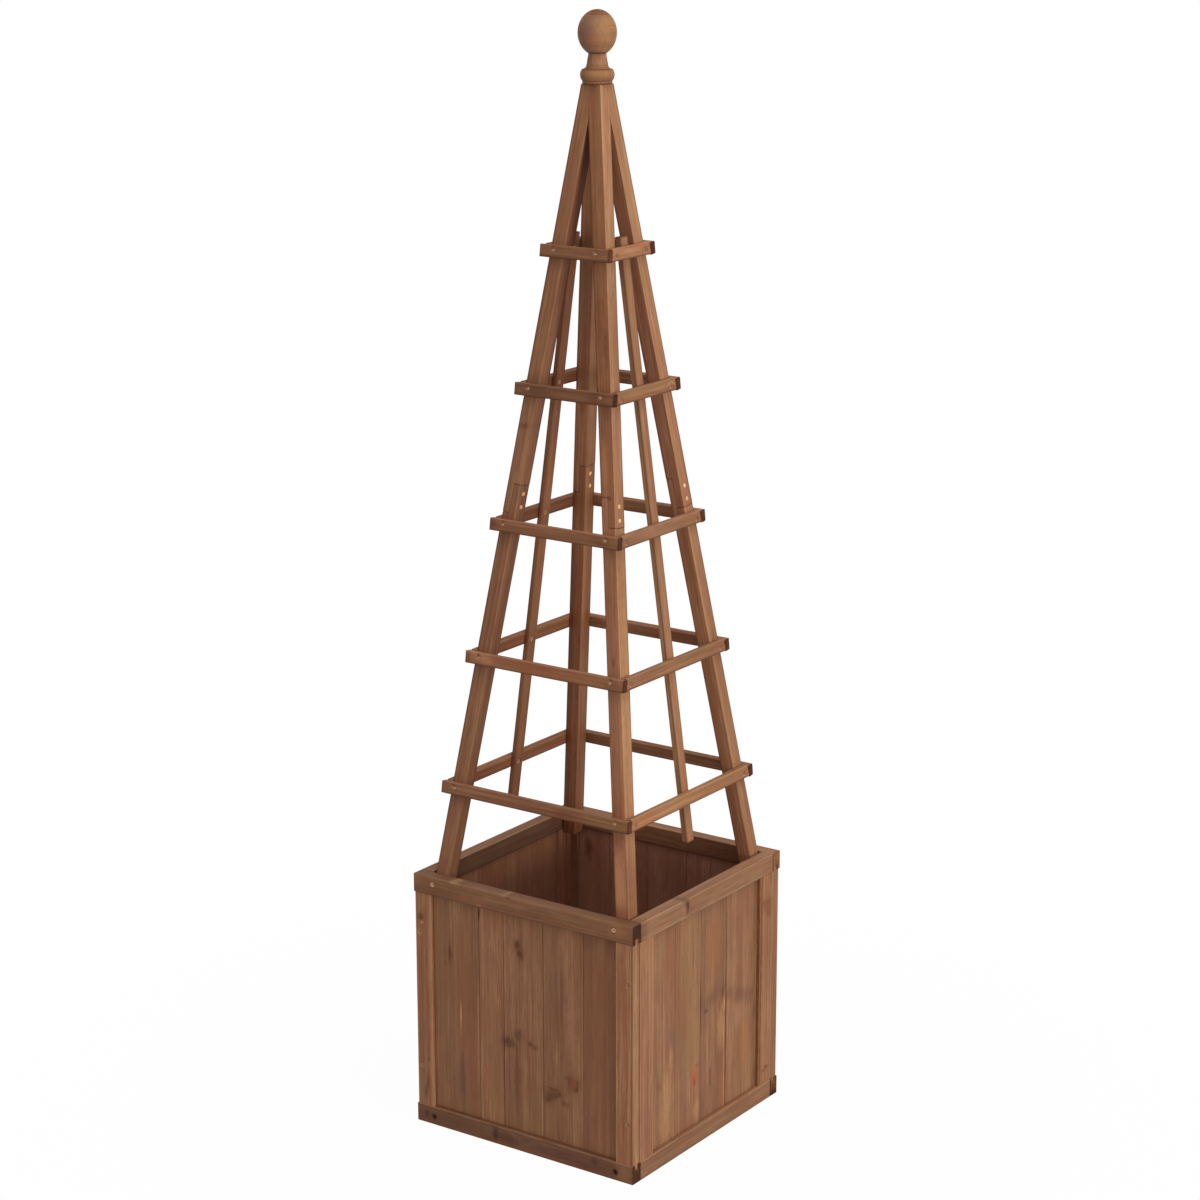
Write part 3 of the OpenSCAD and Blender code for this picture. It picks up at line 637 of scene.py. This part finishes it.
# Some looks scale the colour of the faces turned one way, which paints light and shade on them
BOARDS = {
    "front": dict(
        seams=FRONT_SEAMS, board_tones=(0.90, 1.11, 0.95, 0.97, 0.79),
        knots=(
            (-0.1310, 0.2700, 0.0030, 0.0090, KNOT_AND_SHADE_DARK),
            (-0.0116, 0.3094, 0.0038, 0.0042, KNOT_AND_SHADE_DARK),
            (-0.0074, 0.2977, 0.0042, 0.0058, KNOT_AND_SHADE_DARK),
            (-0.0300, 0.1595, 0.0080, 0.0055, KNOT_AND_SHADE_DARK),
            (-0.0104, 0.1740, 0.0055, 0.0055, STAIN_DARK),
            (0.0106, 0.1652, 0.0032, 0.0030, KNOT_AND_SHADE_DARK),
            (0.0193, 0.1621, 0.0034, 0.0026, STAIN_DARK),
            (0.0420, 0.0900, 0.0060, 0.0050, KNOT_AND_SHADE_DARK),
            (0.0500, 0.1010, 0.0105, 0.0058, BROWN),
            (0.0850, 0.1222, 0.0080, 0.0085, KNOT_BRIGHT)),
        patches=(
            (0.0750, 0.1300, 0.0070, 0.0035, 0.50, BROWN),
            (0.0900, 0.1160, 0.0045, 0.0040, 0.60, KNOT_AND_SHADE_DARK),
            (-0.1390, 0.2540, 0.0028, 0.0040, 0.40, BROWN),
            (-0.0076, 0.2830, 0.0014, 0.0120, 0.50, STAIN_DARK),
            (-0.0135, 0.1100, 0.0045, 0.0550, 0.55, BROWN),
            (0.0481, 0.1012, 0.0090, 0.0050, 0.40, TAN),
            (0.0480, 0.1072, 0.0120, 0.0013, 0.65, BROWN),
            (0.0528, 0.0975, 0.0080, 0.0015, 0.70, BROWN),
            (0.0675, 0.0915, 0.0070, 0.0015, 0.55, BROWN),
            (0.0700, 0.0880, 0.0070, 0.0040, 0.50, BROWN),
            (0.0656, 0.2450, 0.0030, 0.0850, 0.55, BROWN),
            (0.0562, 0.1550, 0.0018, 0.0250, 0.50, TAN),
            (0.0816, 0.2100, 0.0080, 0.0600, 0.45, PINK),
            (-0.1100, 0.2000, 0.0100, 0.1100, 0.40, STAIN_RED),
            (-0.1110, 0.0900, 0.0060, 0.0360, 0.60, PURPLE),
            (-0.1130, 0.1800, 0.0011, 0.0230, 0.75, BARE_WOOD),
            (-0.0780, 0.3420, 0.0016, 0.0100, 0.80, KNOT_AND_SHADE_DARK),
            (-0.0915, 0.1000, 0.0080, 0.1100, 0.45, STAIN_RED),
            (-0.0815, 0.1500, 0.0014, 0.0700, 0.50, PINK),
            (-0.0365, 0.1000, 0.0012, 0.0900, 0.60, BROWN),
            (0.0305, 0.0600, 0.0015, 0.0450, 0.45, TAN),
            (0.1120, 0.3400, 0.0110, 0.0110, 0.40, BROWN),
            (0.1300, 0.1900, 0.0300, 0.2500, 0.30, STAIN_RED),
            (-0.0095, 0.3030, 0.0110, 0.0160, 0.45, BROWN),
            (0.0500, 0.1000, 0.0110, 0.0080, 0.40, BROWN))),
    "back": dict(
        seams=tuple(-seam for seam in reversed(FRONT_SEAMS)), tint=(1.0, 0.96, 0.92),
        board_tones=(1.0, 0.96, 1.0, 1.03, 1.0), rings=0.4, streaks=0.5, strands=0.12,
        painted_face_light=((FORWARDS, (1.26, 1.30, 1.70)),),
        knots=(
            (-0.060, 0.130, 0.006, 0.009, KNOT_AND_SHADE_DARK),
            (0.075, 0.120, 0.005, 0.007, KNOT_RED)),
        patches=(
            (-0.1415, 0.3210, 0.0070, 0.0190, 0.72, KNOT_AND_SHADE_DARK),
            (0.0300, 0.3000, 0.0600, 0.0500, 0.35, RUST))),
    "left": dict(
        seams=tuple(-seam for seam in reversed(SIDE_SEAMS)), board_tones=(0.98, 1.01, 0.97, 1.0),
        rings=0.4, streaks=0.5, strands=0.10, painted_face_light=((RIGHTWARDS, (0.92, 0.87, 0.93)),),
        knots=(
            (0.030, 0.160, 0.006, 0.008, KNOT_AND_SHADE_DARK),
            (-0.080, 0.110, 0.007, 0.006, KNOT_RED),
            (0.095, 0.180, 0.004, 0.006, KNOT_AND_SHADE_DARK))),
    "right": dict(
        seams=SIDE_SEAMS, board_tones=(0.98, 0.95, 0.85, 0.96), tint=(0.98, 1.01, 1.01), rings=0.5,
        knots=(
            (0.0480, 0.2080, 0.0030, 0.0080, BROWN),
            (0.0034, 0.1921, 0.0036, 0.0026, KNOT_AND_SHADE_DARK),
            (0.0163, 0.0839, 0.0018, 0.0100, STAIN_DARK)),
        patches=(
            (-0.0246, 0.1010, 0.0105, 0.0165, 0.85, EMBER),
            (-0.0246, 0.0930, 0.0030, 0.0070, 0.55, RUST),
            (-0.0200, 0.1180, 0.0040, 0.0030, 0.45, BROWN),
            (-0.0890, 0.3000, 0.0160, 0.0500, 0.35, STAIN_RED),
            (-0.0400, 0.2700, 0.0300, 0.0700, 0.35, STAIN_OLIVE),
            (-0.0300, 0.2850, 0.0014, 0.0400, 0.60, BROWN),
            (0.0250, 0.2900, 0.0200, 0.0500, 0.35, ORANGE),
            (-0.0340, 0.1590, 0.0280, 0.0350, 0.50, STAIN_OLIVE),
            (-0.0844, 0.1780, 0.0120, 0.0220, 0.40, STAIN_DUSK),
            (0.0100, 0.2030, 0.0200, 0.0120, 0.50, SMOKE),
            (0.0330, 0.2120, 0.0200, 0.0150, 0.50, SMOKE),
            (0.0460, 0.2200, 0.0060, 0.0140, 0.45, STAIN_DUSK),
            (0.0700, 0.1980, 0.0140, 0.0110, 0.50, SMOKE),
            (0.0930, 0.1870, 0.0200, 0.0120, 0.50, SMOKE),
            (0.1180, 0.1790, 0.0160, 0.0140, 0.50, SMOKE),
            (0.0530, 0.1880, 0.0040, 0.0130, 0.70, TAN),
            (0.0450, 0.1540, 0.0110, 0.0320, 0.50, TAN),
            (0.0400, 0.1880, 0.0030, 0.0090, 0.45, RUST),
            (0.0490, 0.0600, 0.0110, 0.0400, 0.30, ORANGE),
            (0.0900, 0.1590, 0.0100, 0.0200, 0.45, PINK),
            (0.1100, 0.1065, 0.0130, 0.0350, 0.40, ORANGE),
            (0.1338, 0.1486, 0.0060, 0.0160, 0.55, PURPLE),
            (0.1360, 0.0487, 0.0060, 0.0160, 0.55, PURPLE),
            (-0.0255, 0.0720, 0.0030, 0.0160, 0.45, KNOT_RED),
            (-0.0200, 0.0500, 0.0080, 0.0180, 0.45, TAN),
            (-0.0860, 0.1520, 0.0060, 0.0200, 0.50, TAN),
            (-0.0950, 0.1050, 0.0120, 0.0350, 0.50, TAN),
            (-0.0990, 0.0560, 0.0150, 0.0350, 0.40, TAN),
            (-0.1117, 0.1185, 0.0035, 0.0060, 0.60, KNOT_RED),
            (-0.1190, 0.1220, 0.0030, 0.0180, 0.50, PURPLE),
            (0.0520, 0.1000, 0.0020, 0.1000, 0.50, TAN),
            (0.0570, 0.1600, 0.0026, 0.1400, 0.60, KNOT_AND_SHADE_DARK),
            (-0.0100, 0.2050, 0.0022, 0.0400, 0.50, KNOT_AND_SHADE_DARK))),
}

# Rails and stiles get painted shade on their unworn arrises and round the mouths of their screw holes
for side in SIDES:
    wide = side in WIDE_SIDES
    level_axes = LEVEL_FRONT if wide else LEVEL_SIDE
    upright_axes = UPRIGHT_FRONT if wide else UPRIGHT_SIDE
    for level, holes in (("top", TOP_HOLES), ("bottom", BOTTOM_HOLES)):
        name = f"{side}_{level}_rail"
        middle, half = box_middle(name)
        look = dict(pith=(0.02, 0.05), taper=0.02, wear=0.6, end=0.34)
        look.update(RAILS[f"{side}_{level}"])
        dress(name, wood(name, level_axes, middle, half_along(half, level_axes), next_seed(),
                         holes=holes if wide else (), **look))
        soften(name, WIDE_ROUND)
    for hand in ("left", "right"):
        name = f"{side}_{hand}_stile"
        middle, half = box_middle(name)
        stile_holes = [(math.copysign(STILE_SCREW_X, middle.x), z) for z in STILE_SCREW_Z]
        look = dict(pith=(0.03, 0.06), wear=0.3, lit=(0, 0))
        look.update(STILES[f"{side}_{hand}"])
        dress(name, wood(name, upright_axes, middle, half_along(half, upright_axes), next_seed(),
                         holes=stile_holes if wide else (), shade_and_dirt=0.10, **look))
        soften(name, NARROW_ROUND)
    name = f"{side}_boards"
    # Share of painted shade in the corner of the frame
    half_width, corner_shade = (FRONT_OPENING, 0.55) if wide else (SIDE_OPENING, 0.30)
    dress(name, wood(name, upright_axes, box_middle(name)[0], None, next_seed(), pith=(0.0, 0.045),
                     taper=0.012, opening=(half_width, RAIL_H, BOX_H - RAIL_H, corner_shade),
                     **BOARDS[side]))

# Floor of the box
FLOOR_AXES = {"left_cleat": LEVEL_SIDE, "right_cleat": LEVEL_SIDE, "floor_slats": LEVEL_FRONT}
for name, axes in FLOOR_AXES.items():
    dress(name, wood(name, axes, box_middle(name)[0], None, next_seed(), 0.8))
    soften(name, NARROW_ROUND)

# Trellis legs. Their axes are sheared, so that they measure from the middle of the leaning leg
# Each piece has the factors of its stain and those that its right face gets on top, which paint light
# and shade on it
LEG_STAINS_AND_SIDE_LIGHT = {
    "upper_leg_front_left": ((0.98, 0.98, 0.93), (0.79, 0.72, 0.73)),
    "lower_leg_front_left": ((0.86, 0.83, 0.83), (0.77, 0.75, 0.70)),
    "upper_leg_front_right": ((0.96, 0.86, 0.77), (1.28, 1.56, 1.76)),
    "lower_leg_front_right": ((1.11, 1.04, 1.05), (1.08, 1.24, 1.18)),
    "upper_leg_back_left": ((1.07, 0.97, 0.90), (0.83, 0.86, 0.88)),
    "lower_leg_back_left": ((0.77, 0.62, 0.52), (1.14, 1.24, 1.20)),
    "upper_leg_back_right": ((1.07, 0.97, 1.00), (1.09, 1.28, 1.24)),
    "lower_leg_back_right": ((1.12, 1.00, 1.00), (0.93, 1.10, 1.05)),
}
# Marks are (from the middle of the leg, height, half width, half height, amount, colour), some of them
# painted shade
LEG_MARKS_AND_SHADE = {
    "upper_leg_front_left": (
        (0.000, 1.028, 0.0110, 0.0045, 0.60, BROWN),
        (-0.003, 1.058, 0.0022, 0.0200, 0.50, TAN),
        (-0.007, 1.000, 0.0030, 0.0500, 0.35, TAN),
        (0.000, 1.090, 0.0200, 0.0120, 0.35, BROWN)),
    "lower_leg_front_left": (
        (0.000, 0.740, 0.0020, 0.1600, 0.35, BROWN),
        (-0.006, 0.850, 0.0030, 0.0500, 0.30, ORANGE)),
    "upper_leg_front_right": (
        (-0.003, 0.985, 0.0050, 0.0380, 0.50, TAN),
        (0.006, 1.140, 0.0030, 0.0300, 0.35, BROWN),
        (-0.003, 1.175, 0.0100, 0.0600, 0.40, RUST),
        (0.012, 1.160, 0.0040, 0.0800, 0.40, BROWN),
        (0.002, 0.946, 0.0040, 0.0030, 0.60, KNOT_AND_SHADE_DARK)),
    "lower_leg_front_right": (
        (0.009, 0.640, 0.0030, 0.2500, 0.35, TAN),
        (0.000, 0.726, 0.0040, 0.0060, 0.40, RUST),
        (-0.004, 0.550, 0.0030, 0.0500, 0.30, BROWN),
        (-0.003, 0.425, 0.0110, 0.0500, 0.60, TAN),
        (0.0120, 0.420, 0.0040, 0.0500, 0.55, BROWN),
        # Painted shade where the leg meets the top of the box
        (0.000, 0.385, 0.0200, 0.0120, 0.35, RUST)),
    "upper_leg_back_left": (
        (0.000, 1.045, 0.0070, 0.0200, 0.45, BROWN),
        (-0.008, 1.000, 0.0020, 0.0500, 0.30, TAN)),
    "lower_leg_back_left": (
        (0.006, 0.650, 0.0050, 0.2500, 0.35, RUST),
        (-0.004, 0.700, 0.0022, 0.1200, 0.35, ORANGE)),
    # A painted shadow on the upper part of the back right leg
    "upper_leg_back_right": ((0.002, 1.200, 0.0040, 0.0600, 0.35, BROWN),),
    "lower_leg_back_right": ((-0.002, 0.600, 0.0030, 0.1400, 0.35, STAIN_OLIVE),),
}
# Heights about the middle of the two pieces, from which their grain is measured
LEG_PIECES = (("lower", 0.62), ("upper", 1.2))
for corner in ("front_left", "front_right", "back_left", "back_right"):
    x_sign = -1 if "left" in corner else 1
    y_sign = -1 if "front" in corner else 1
    axes = ((x_sign, 0.0, SLOPE), (0.0, y_sign, SLOPE), (0.0, 0.0, 1.0))
    splice = (x_sign * leg_middle(SPLICE_Z), y_sign * leg_middle(SPLICE_Z), SPLICE_Z)
    upwards = tuple(Vector((-x_sign * SLOPE, -y_sign * SLOPE, 1.0)).normalized())
    for part, z in LEG_PIECES:
        middle = (x_sign * leg_middle(z), y_sign * leg_middle(z), z)
        half = (LEG_HALF, LEG_HALF, NO_END)
        name = f"{part}_leg_{corner}"
        marks = [(leg_middle(0.0) + mark[0], *mark[1:]) for mark in LEG_MARKS_AND_SHADE[name]]
        stain, right_face_light = LEG_STAINS_AND_SIDE_LIGHT[name]
        # The unworn arrises of the legs get painted shade, and their right faces painted light and shade
        dress(name, wood(name, axes, middle, half, next_seed(), 1.0, stain, pith=(0.03, 0.05),
                         wear=0.25 if corner == "front_left" else 0.10, lit=(x_sign, -y_sign),
                         painted_arris_shade=0.75, joint=(splice, upwards, SPLICE_HALF_LENGTH),
                         painted_face_light=((RIGHTWARDS, right_face_light),), patches=marks))
        soften(name, WIDE_ROUND)

# Battens. The axes lean with the face that a batten lies on
BATTEN_TONES = {
    "front": (0.72, 0.94, 0.86, 0.66, 0.71),
    "back": (0.90, 1.05, 1.05, 1.05, 0.90),
    "left": (0.72, 0.80, 0.78, 0.72, 0.74),
    "right": (1.02, 0.92, 0.93, 0.98, 1.18),
}
BATTEN_TINTS = {
    "front": (1.04, 0.95, 0.90),
    "back": (1.02, 0.97, 0.97),
    "left": (1.14, 0.98, 0.86),
    "right": (0.99, 0.99, 0.93),
}
# End grain that is lighter than on the others
BATTEN_ENDS = {"front_batten_1": 0.55, "front_batten_5": 0.60}
# Marks are (from the middle of the batten, place along it, half width, half length, amount, colour)
BATTEN_MARKS = {
    "front_batten_1": (
        (0.000, -0.152, 0.0100, 0.0150, 0.40, STAIN_OLIVE),
        (0.000, 0.060, 0.0080, 0.0300, 0.35, RUST)),
    "front_batten_2": (
        (0.001, -0.099, 0.0060, 0.0130, 0.60, TAN),
        (0.000, -0.131, 0.0100, 0.0060, 0.60, BROWN),
        (0.000, 0.000, 0.0070, 0.0600, 0.30, STAIN_RED),
        (0.000, 0.115, 0.0090, 0.0130, 0.40, BROWN)),
    "front_batten_3": (
        (0.000, -0.105, 0.0100, 0.0070, 0.70, BROWN),
        (0.000, 0.080, 0.0080, 0.0200, 0.35, BROWN)),
    "front_batten_4": (
        (0.002, -0.045, 0.0090, 0.0280, 0.50, BROWN),
        (0.000, 0.055, 0.0080, 0.0160, 0.40, RUST)),
    "front_batten_5": ((0.000, 0.035, 0.0090, 0.0120, 0.30, STAIN_RED),),
    "right_batten_1": (
        (0.000, -0.120, 0.0080, 0.0250, 0.35, ORANGE),
        (0.000, 0.050, 0.0050, 0.0400, 0.30, STAIN_OLIVE)),
    "right_batten_2": (
        (-0.002, -0.122, 0.0030, 0.0050, 0.55, ORANGE),
        (0.000, 0.020, 0.0060, 0.0500, 0.35, STAIN_OLIVE)),
    "right_batten_3": (
        (0.002, -0.030, 0.0050, 0.0400, 0.35, PINK),
        (0.000, 0.070, 0.0050, 0.0200, 0.30, STAIN_OLIVE)),
    "right_batten_4": ((0.002, 0.060, 0.0040, 0.0100, 0.40, TAN),),
    "right_batten_5": ((0.002, 0.035, 0.0040, 0.0100, 0.35, RUST),),
}
for side in SIDES:
    wide = side in WIDE_SIDES
    sign = -1 if side in ("front", "left") else 1
    rise = SCREW_RISE if wide else -SCREW_RISE
    for row in range(1, ROWS + 1):
        z = row_z(row)
        out = leg_face(z) + BATTEN_T / 2 * math.cos(LEAN)
        length = leg_face(z) + BATTEN_T / math.cos(LEAN) + BATTEN_OVERRUN if wide else NO_END
        up = Vector((0.0, -sign * SLOPE, 1.0)).normalized()
        outward = Vector((0.0, sign, SLOPE)).normalized()
        grain = Vector((1.0, 0.0, 0.0))
        middle = Vector((0.0, sign * out, z + BATTEN_T / 2 * math.sin(LEAN)))
        if not wide:
            up, outward, grain, middle = (v.yxz for v in (up, outward, grain, middle))
        level = middle.dot(up)
        holes = [(level + rise, sign_along * leg_middle(z)) for sign_along in (-1, 1)]
        name = f"{side}_batten_{row}"
        marks = [(level + mark[0], *mark[1:]) for mark in BATTEN_MARKS.get(name, ())]
        end = BATTEN_ENDS.get(name, 0.30)
        # The unworn arrises of the battens and the mouths of their screw holes get painted shade
        dress(name, wood(name, (up, outward, grain), middle, (BATTEN_H / 2, BATTEN_T / 2, length),
                         next_seed(), BATTEN_TONES[side][row - 1], BATTEN_TINTS[side], pith=(0.03, 0.04),
                         streaks=1.3, strands=0.30, wear=0.25, painted_arris_shade=0.80, end=end, holes=holes,
                         shade_and_dirt=0.05, patches=marks))
        soften(name, WIDE_ROUND)

# Middle slats, on the inner side of the side battens
for sign, side, slat_stain in ((-1, "left", (0.77, 0.67, 0.59)), (1, "right", (1.05, 1.12, 1.10))):
    name = f"{side}_middle_slat"
    axes = ((0.0, 1.0, 0.0), (sign, 0.0, SLOPE), (0.0, 0.0, 1.0))
    middle, half = box_middle(name)
    inner_face = sign * (leg_face(middle.z) - SLAT_T / 2)
    holes = [(0.0, row_z(row)) for row in range(1, ROWS + 1)]
    # The unworn arrises of the slats and the mouths of their screw holes get painted shade
    dress(name, wood(name, axes, (inner_face, 0.0, middle.z), (half.y, SLAT_T / 2, half.z), next_seed(),
                     1.0, slat_stain, holes=holes, shade_and_dirt=0.1, wear=0.1, painted_arris_shade=0.60, lit=(0, -1)))
    soften(name, SLAT_ROUND)

# Finial. Shade lines are (height, half width, amount) of the painted shade in its grooves and under its
# collar
FINIAL_MIDDLE_Z = APEX_Z + 0.05
FINIAL_SHADE_LINES = (
    (APEX_Z + 0.0005, 0.0020, 0.90),
    (APEX_Z + 0.0050, 0.0012, 0.45),
    (APEX_Z + 0.0210, 0.0035, 0.35),
    (APEX_Z + 0.0415, 0.0020, 0.60),
    (APEX_Z + 0.0930, 0.0012, 0.40))
# Among the marks, the tan spot on the right of the ball is a painted highlight and the brown at its top
# painted shade
FINIAL_MARKS_AND_LIGHT = (
    (0.000, APEX_Z + 0.0840, 0.0300, 0.0085, 0.45, STAIN_OLIVE),
    (0.000, APEX_Z + 0.0950, 0.0200, 0.0070, 0.50, BROWN),
    (0.018, APEX_Z + 0.0640, 0.0090, 0.0160, 0.25, TAN),
    (-0.002, APEX_Z + 0.0660, 0.0160, 0.0350, 0.75, STAIN_DUSK),
    (0.000, APEX_Z + 0.0130, 0.0300, 0.0110, 0.35, STAIN_OLIVE),
    (0.006, APEX_Z + 0.0600, 0.0120, 0.0100, 0.35, ORANGE),
    (-0.004, APEX_Z + 0.0930, 0.0050, 0.0025, 0.40, PINK),
    (-0.010, APEX_Z + 0.0110, 0.0080, 0.0060, 0.30, BROWN))
dress("finial", wood("finial", UPRIGHT_FRONT, (0.0, 0.0, FINIAL_MIDDLE_Z), None, next_seed(), 1.10,
                     (0.98, 1.0, 0.96), pith=(0.012, -0.03), taper=0.03, period=0.0034, streaks=0.6,
                     strands=0.10, end=0.8, shade_lines=FINIAL_SHADE_LINES, turned=0.35, patches=FINIAL_MARKS_AND_LIGHT))

# Dowels and screws
DOWEL_SEED = 77.0
dress("splice_dowels", wood("splice_dowels", LEVEL_SIDE, (0.0, 0.0, SPLICE_Z), None, DOWEL_SEED, 2.6,
                            (1.0, 1.40, 1.35), end=1.0, rings=0.4, streaks=0.3))
dress("batten_screws", batten_heads("batten_screws"))
dress("slat_screws", metal("slat_screws", HEAD_BRASS, 0.60, 0.1, shade_and_dirt=0.2))
dress("finial_screw", metal("finial_screw", HEAD_STEEL, 0.40))
# The box screws in the cleats are dark, those in the stiles tan and those in the legs pale
ABOVE_CLEAT_HEADS = 0.05
ABOVE_STILE_HEADS = 0.35
HEAD_LEVELS = ((ABOVE_CLEAT_HEADS, HEAD_TAN), (ABOVE_STILE_HEADS, HEAD_PALE))
dress("box_screws", metal("box_screws", HEAD_DARK, 0.60, 0.1, levels=HEAD_LEVELS))

# Stage: a pale floor that turns white away from the part, white all round, soft light
FLOOR_HALF = 12.0
# A little lower than the part's foot, so the two faces don't lie in one plane
FLOOR_DROP = 0.0005
# From the first distance to the second, the last of the floor's own shade gives way to white
FLOOR_SHADE = (0.3, 1.3)
SHADE_WHITE = 0.975
FLOOR_GREY = 0.62
AMBIENT = 0.42
WHITE = (1.0, 1.0, 1.0, 1.0)
floor_mesh = bpy.data.meshes.new("floor")
grid = bmesh.new()
bmesh.ops.create_grid(grid, x_segments=1, y_segments=1, size=FLOOR_HALF)
grid.to_mesh(floor_mesh)
grid.free()
floor = bpy.data.objects.new("floor", floor_mesh)
bpy.context.scene.collection.objects.link(floor)
floor.location = (0.0, 0.0, -FLOOR_DROP)


def seen_directly(g):
    """One where a ray comes from the camera or is mirrored or let through, otherwise zero."""
    path = g.node("ShaderNodeLightPath")
    seen = g.math("MAXIMUM", path.outputs["Is Camera Ray"], path.outputs["Is Glossy Ray"])
    return g.math("MAXIMUM", seen, path.outputs["Is Transmission Ray"])


g = Graph(bpy.data.materials.new("floor"))
paper = g.node("ShaderNodeBsdfDiffuse", {"Color": (*grey_level(FLOOR_GREY), 1.0), "Roughness": 0.6})
glow = g.node("ShaderNodeEmission", {"Color": WHITE, "Strength": 1.0})
away = g.vector("LENGTH", g.node("ShaderNodeTexCoord").outputs["Object"])
white_share = g.math("MULTIPLY", seen_directly(g), g.remap(away, *FLOOR_SHADE, SHADE_WHITE, 1.0))
floor_mesh.materials.append(g.surface(g.mix_shader(white_share, paper.outputs[0], glow.outputs[0])))

world = bpy.data.worlds.new("world")
bpy.context.scene.world = world
g = Graph(world)
ambient = g.node("ShaderNodeBackground", {"Color": WHITE, "Strength": AMBIENT})
backdrop = g.node("ShaderNodeBackground", {"Color": WHITE, "Strength": 1.0})
g.surface(g.mix_shader(seen_directly(g), ambient.outputs[0], backdrop.outputs[0]))


def looking(azimuth, elevation):
    """Unit vector towards a compass direction, with azimuth 0 in front of the front panel."""
    a = math.radians(azimuth)
    e = math.radians(elevation)
    return Vector((math.sin(a) * math.cos(e), -math.cos(a) * math.cos(e), math.sin(e)))


def soft_sun(name, azimuth, elevation, level, spread):
    """A wide even light. At level 1 it shows a surface that faces it at about its own colour."""
    data = bpy.data.lights.new(name, "SUN")
    data.energy = level * math.pi
    data.angle = math.radians(spread)
    made = bpy.data.objects.new(name, data)
    made.rotation_mode = "QUATERNION"
    made.rotation_quaternion = (-looking(azimuth, elevation)).to_track_quat("-Z", "Y")
    bpy.context.scene.collection.objects.link(made)


soft_sun("overhead", 60, 70, 0.50, 40)
soft_sun("side", 78, 4, 0.52, 20)

# Camera, solved from the corners of the box and the edges of the legs
CAMERA_AZIMUTH = 34.996
CAMERA_ELEVATION = 14.827
CAMERA_DISTANCE = 4.18727
CAMERA_TARGET = Vector((0.00207, 0.00130, 0.77223))
CAMERA_ROLL = -0.0928
CAMERA_LENS = 89.118
SENSOR_WIDTH = 36.0
camera_data = bpy.data.cameras.new("camera")
camera_data.sensor_width = SENSOR_WIDTH
camera_data.lens = CAMERA_LENS
camera_data.dof.use_dof = False
camera = bpy.data.objects.new("camera", camera_data)
bpy.context.scene.collection.objects.link(camera)
bpy.context.scene.camera = camera
back = looking(CAMERA_AZIMUTH, CAMERA_ELEVATION)
camera.location = CAMERA_TARGET + back * CAMERA_DISTANCE
camera.rotation_mode = "QUATERNION"
roll = Matrix.Rotation(math.radians(CAMERA_ROLL), 3, "Z").to_quaternion()
camera.rotation_quaternion = (-back).to_track_quat("-Z", "Y") @ roll

bpy.context.scene.view_settings.view_transform = "Standard"
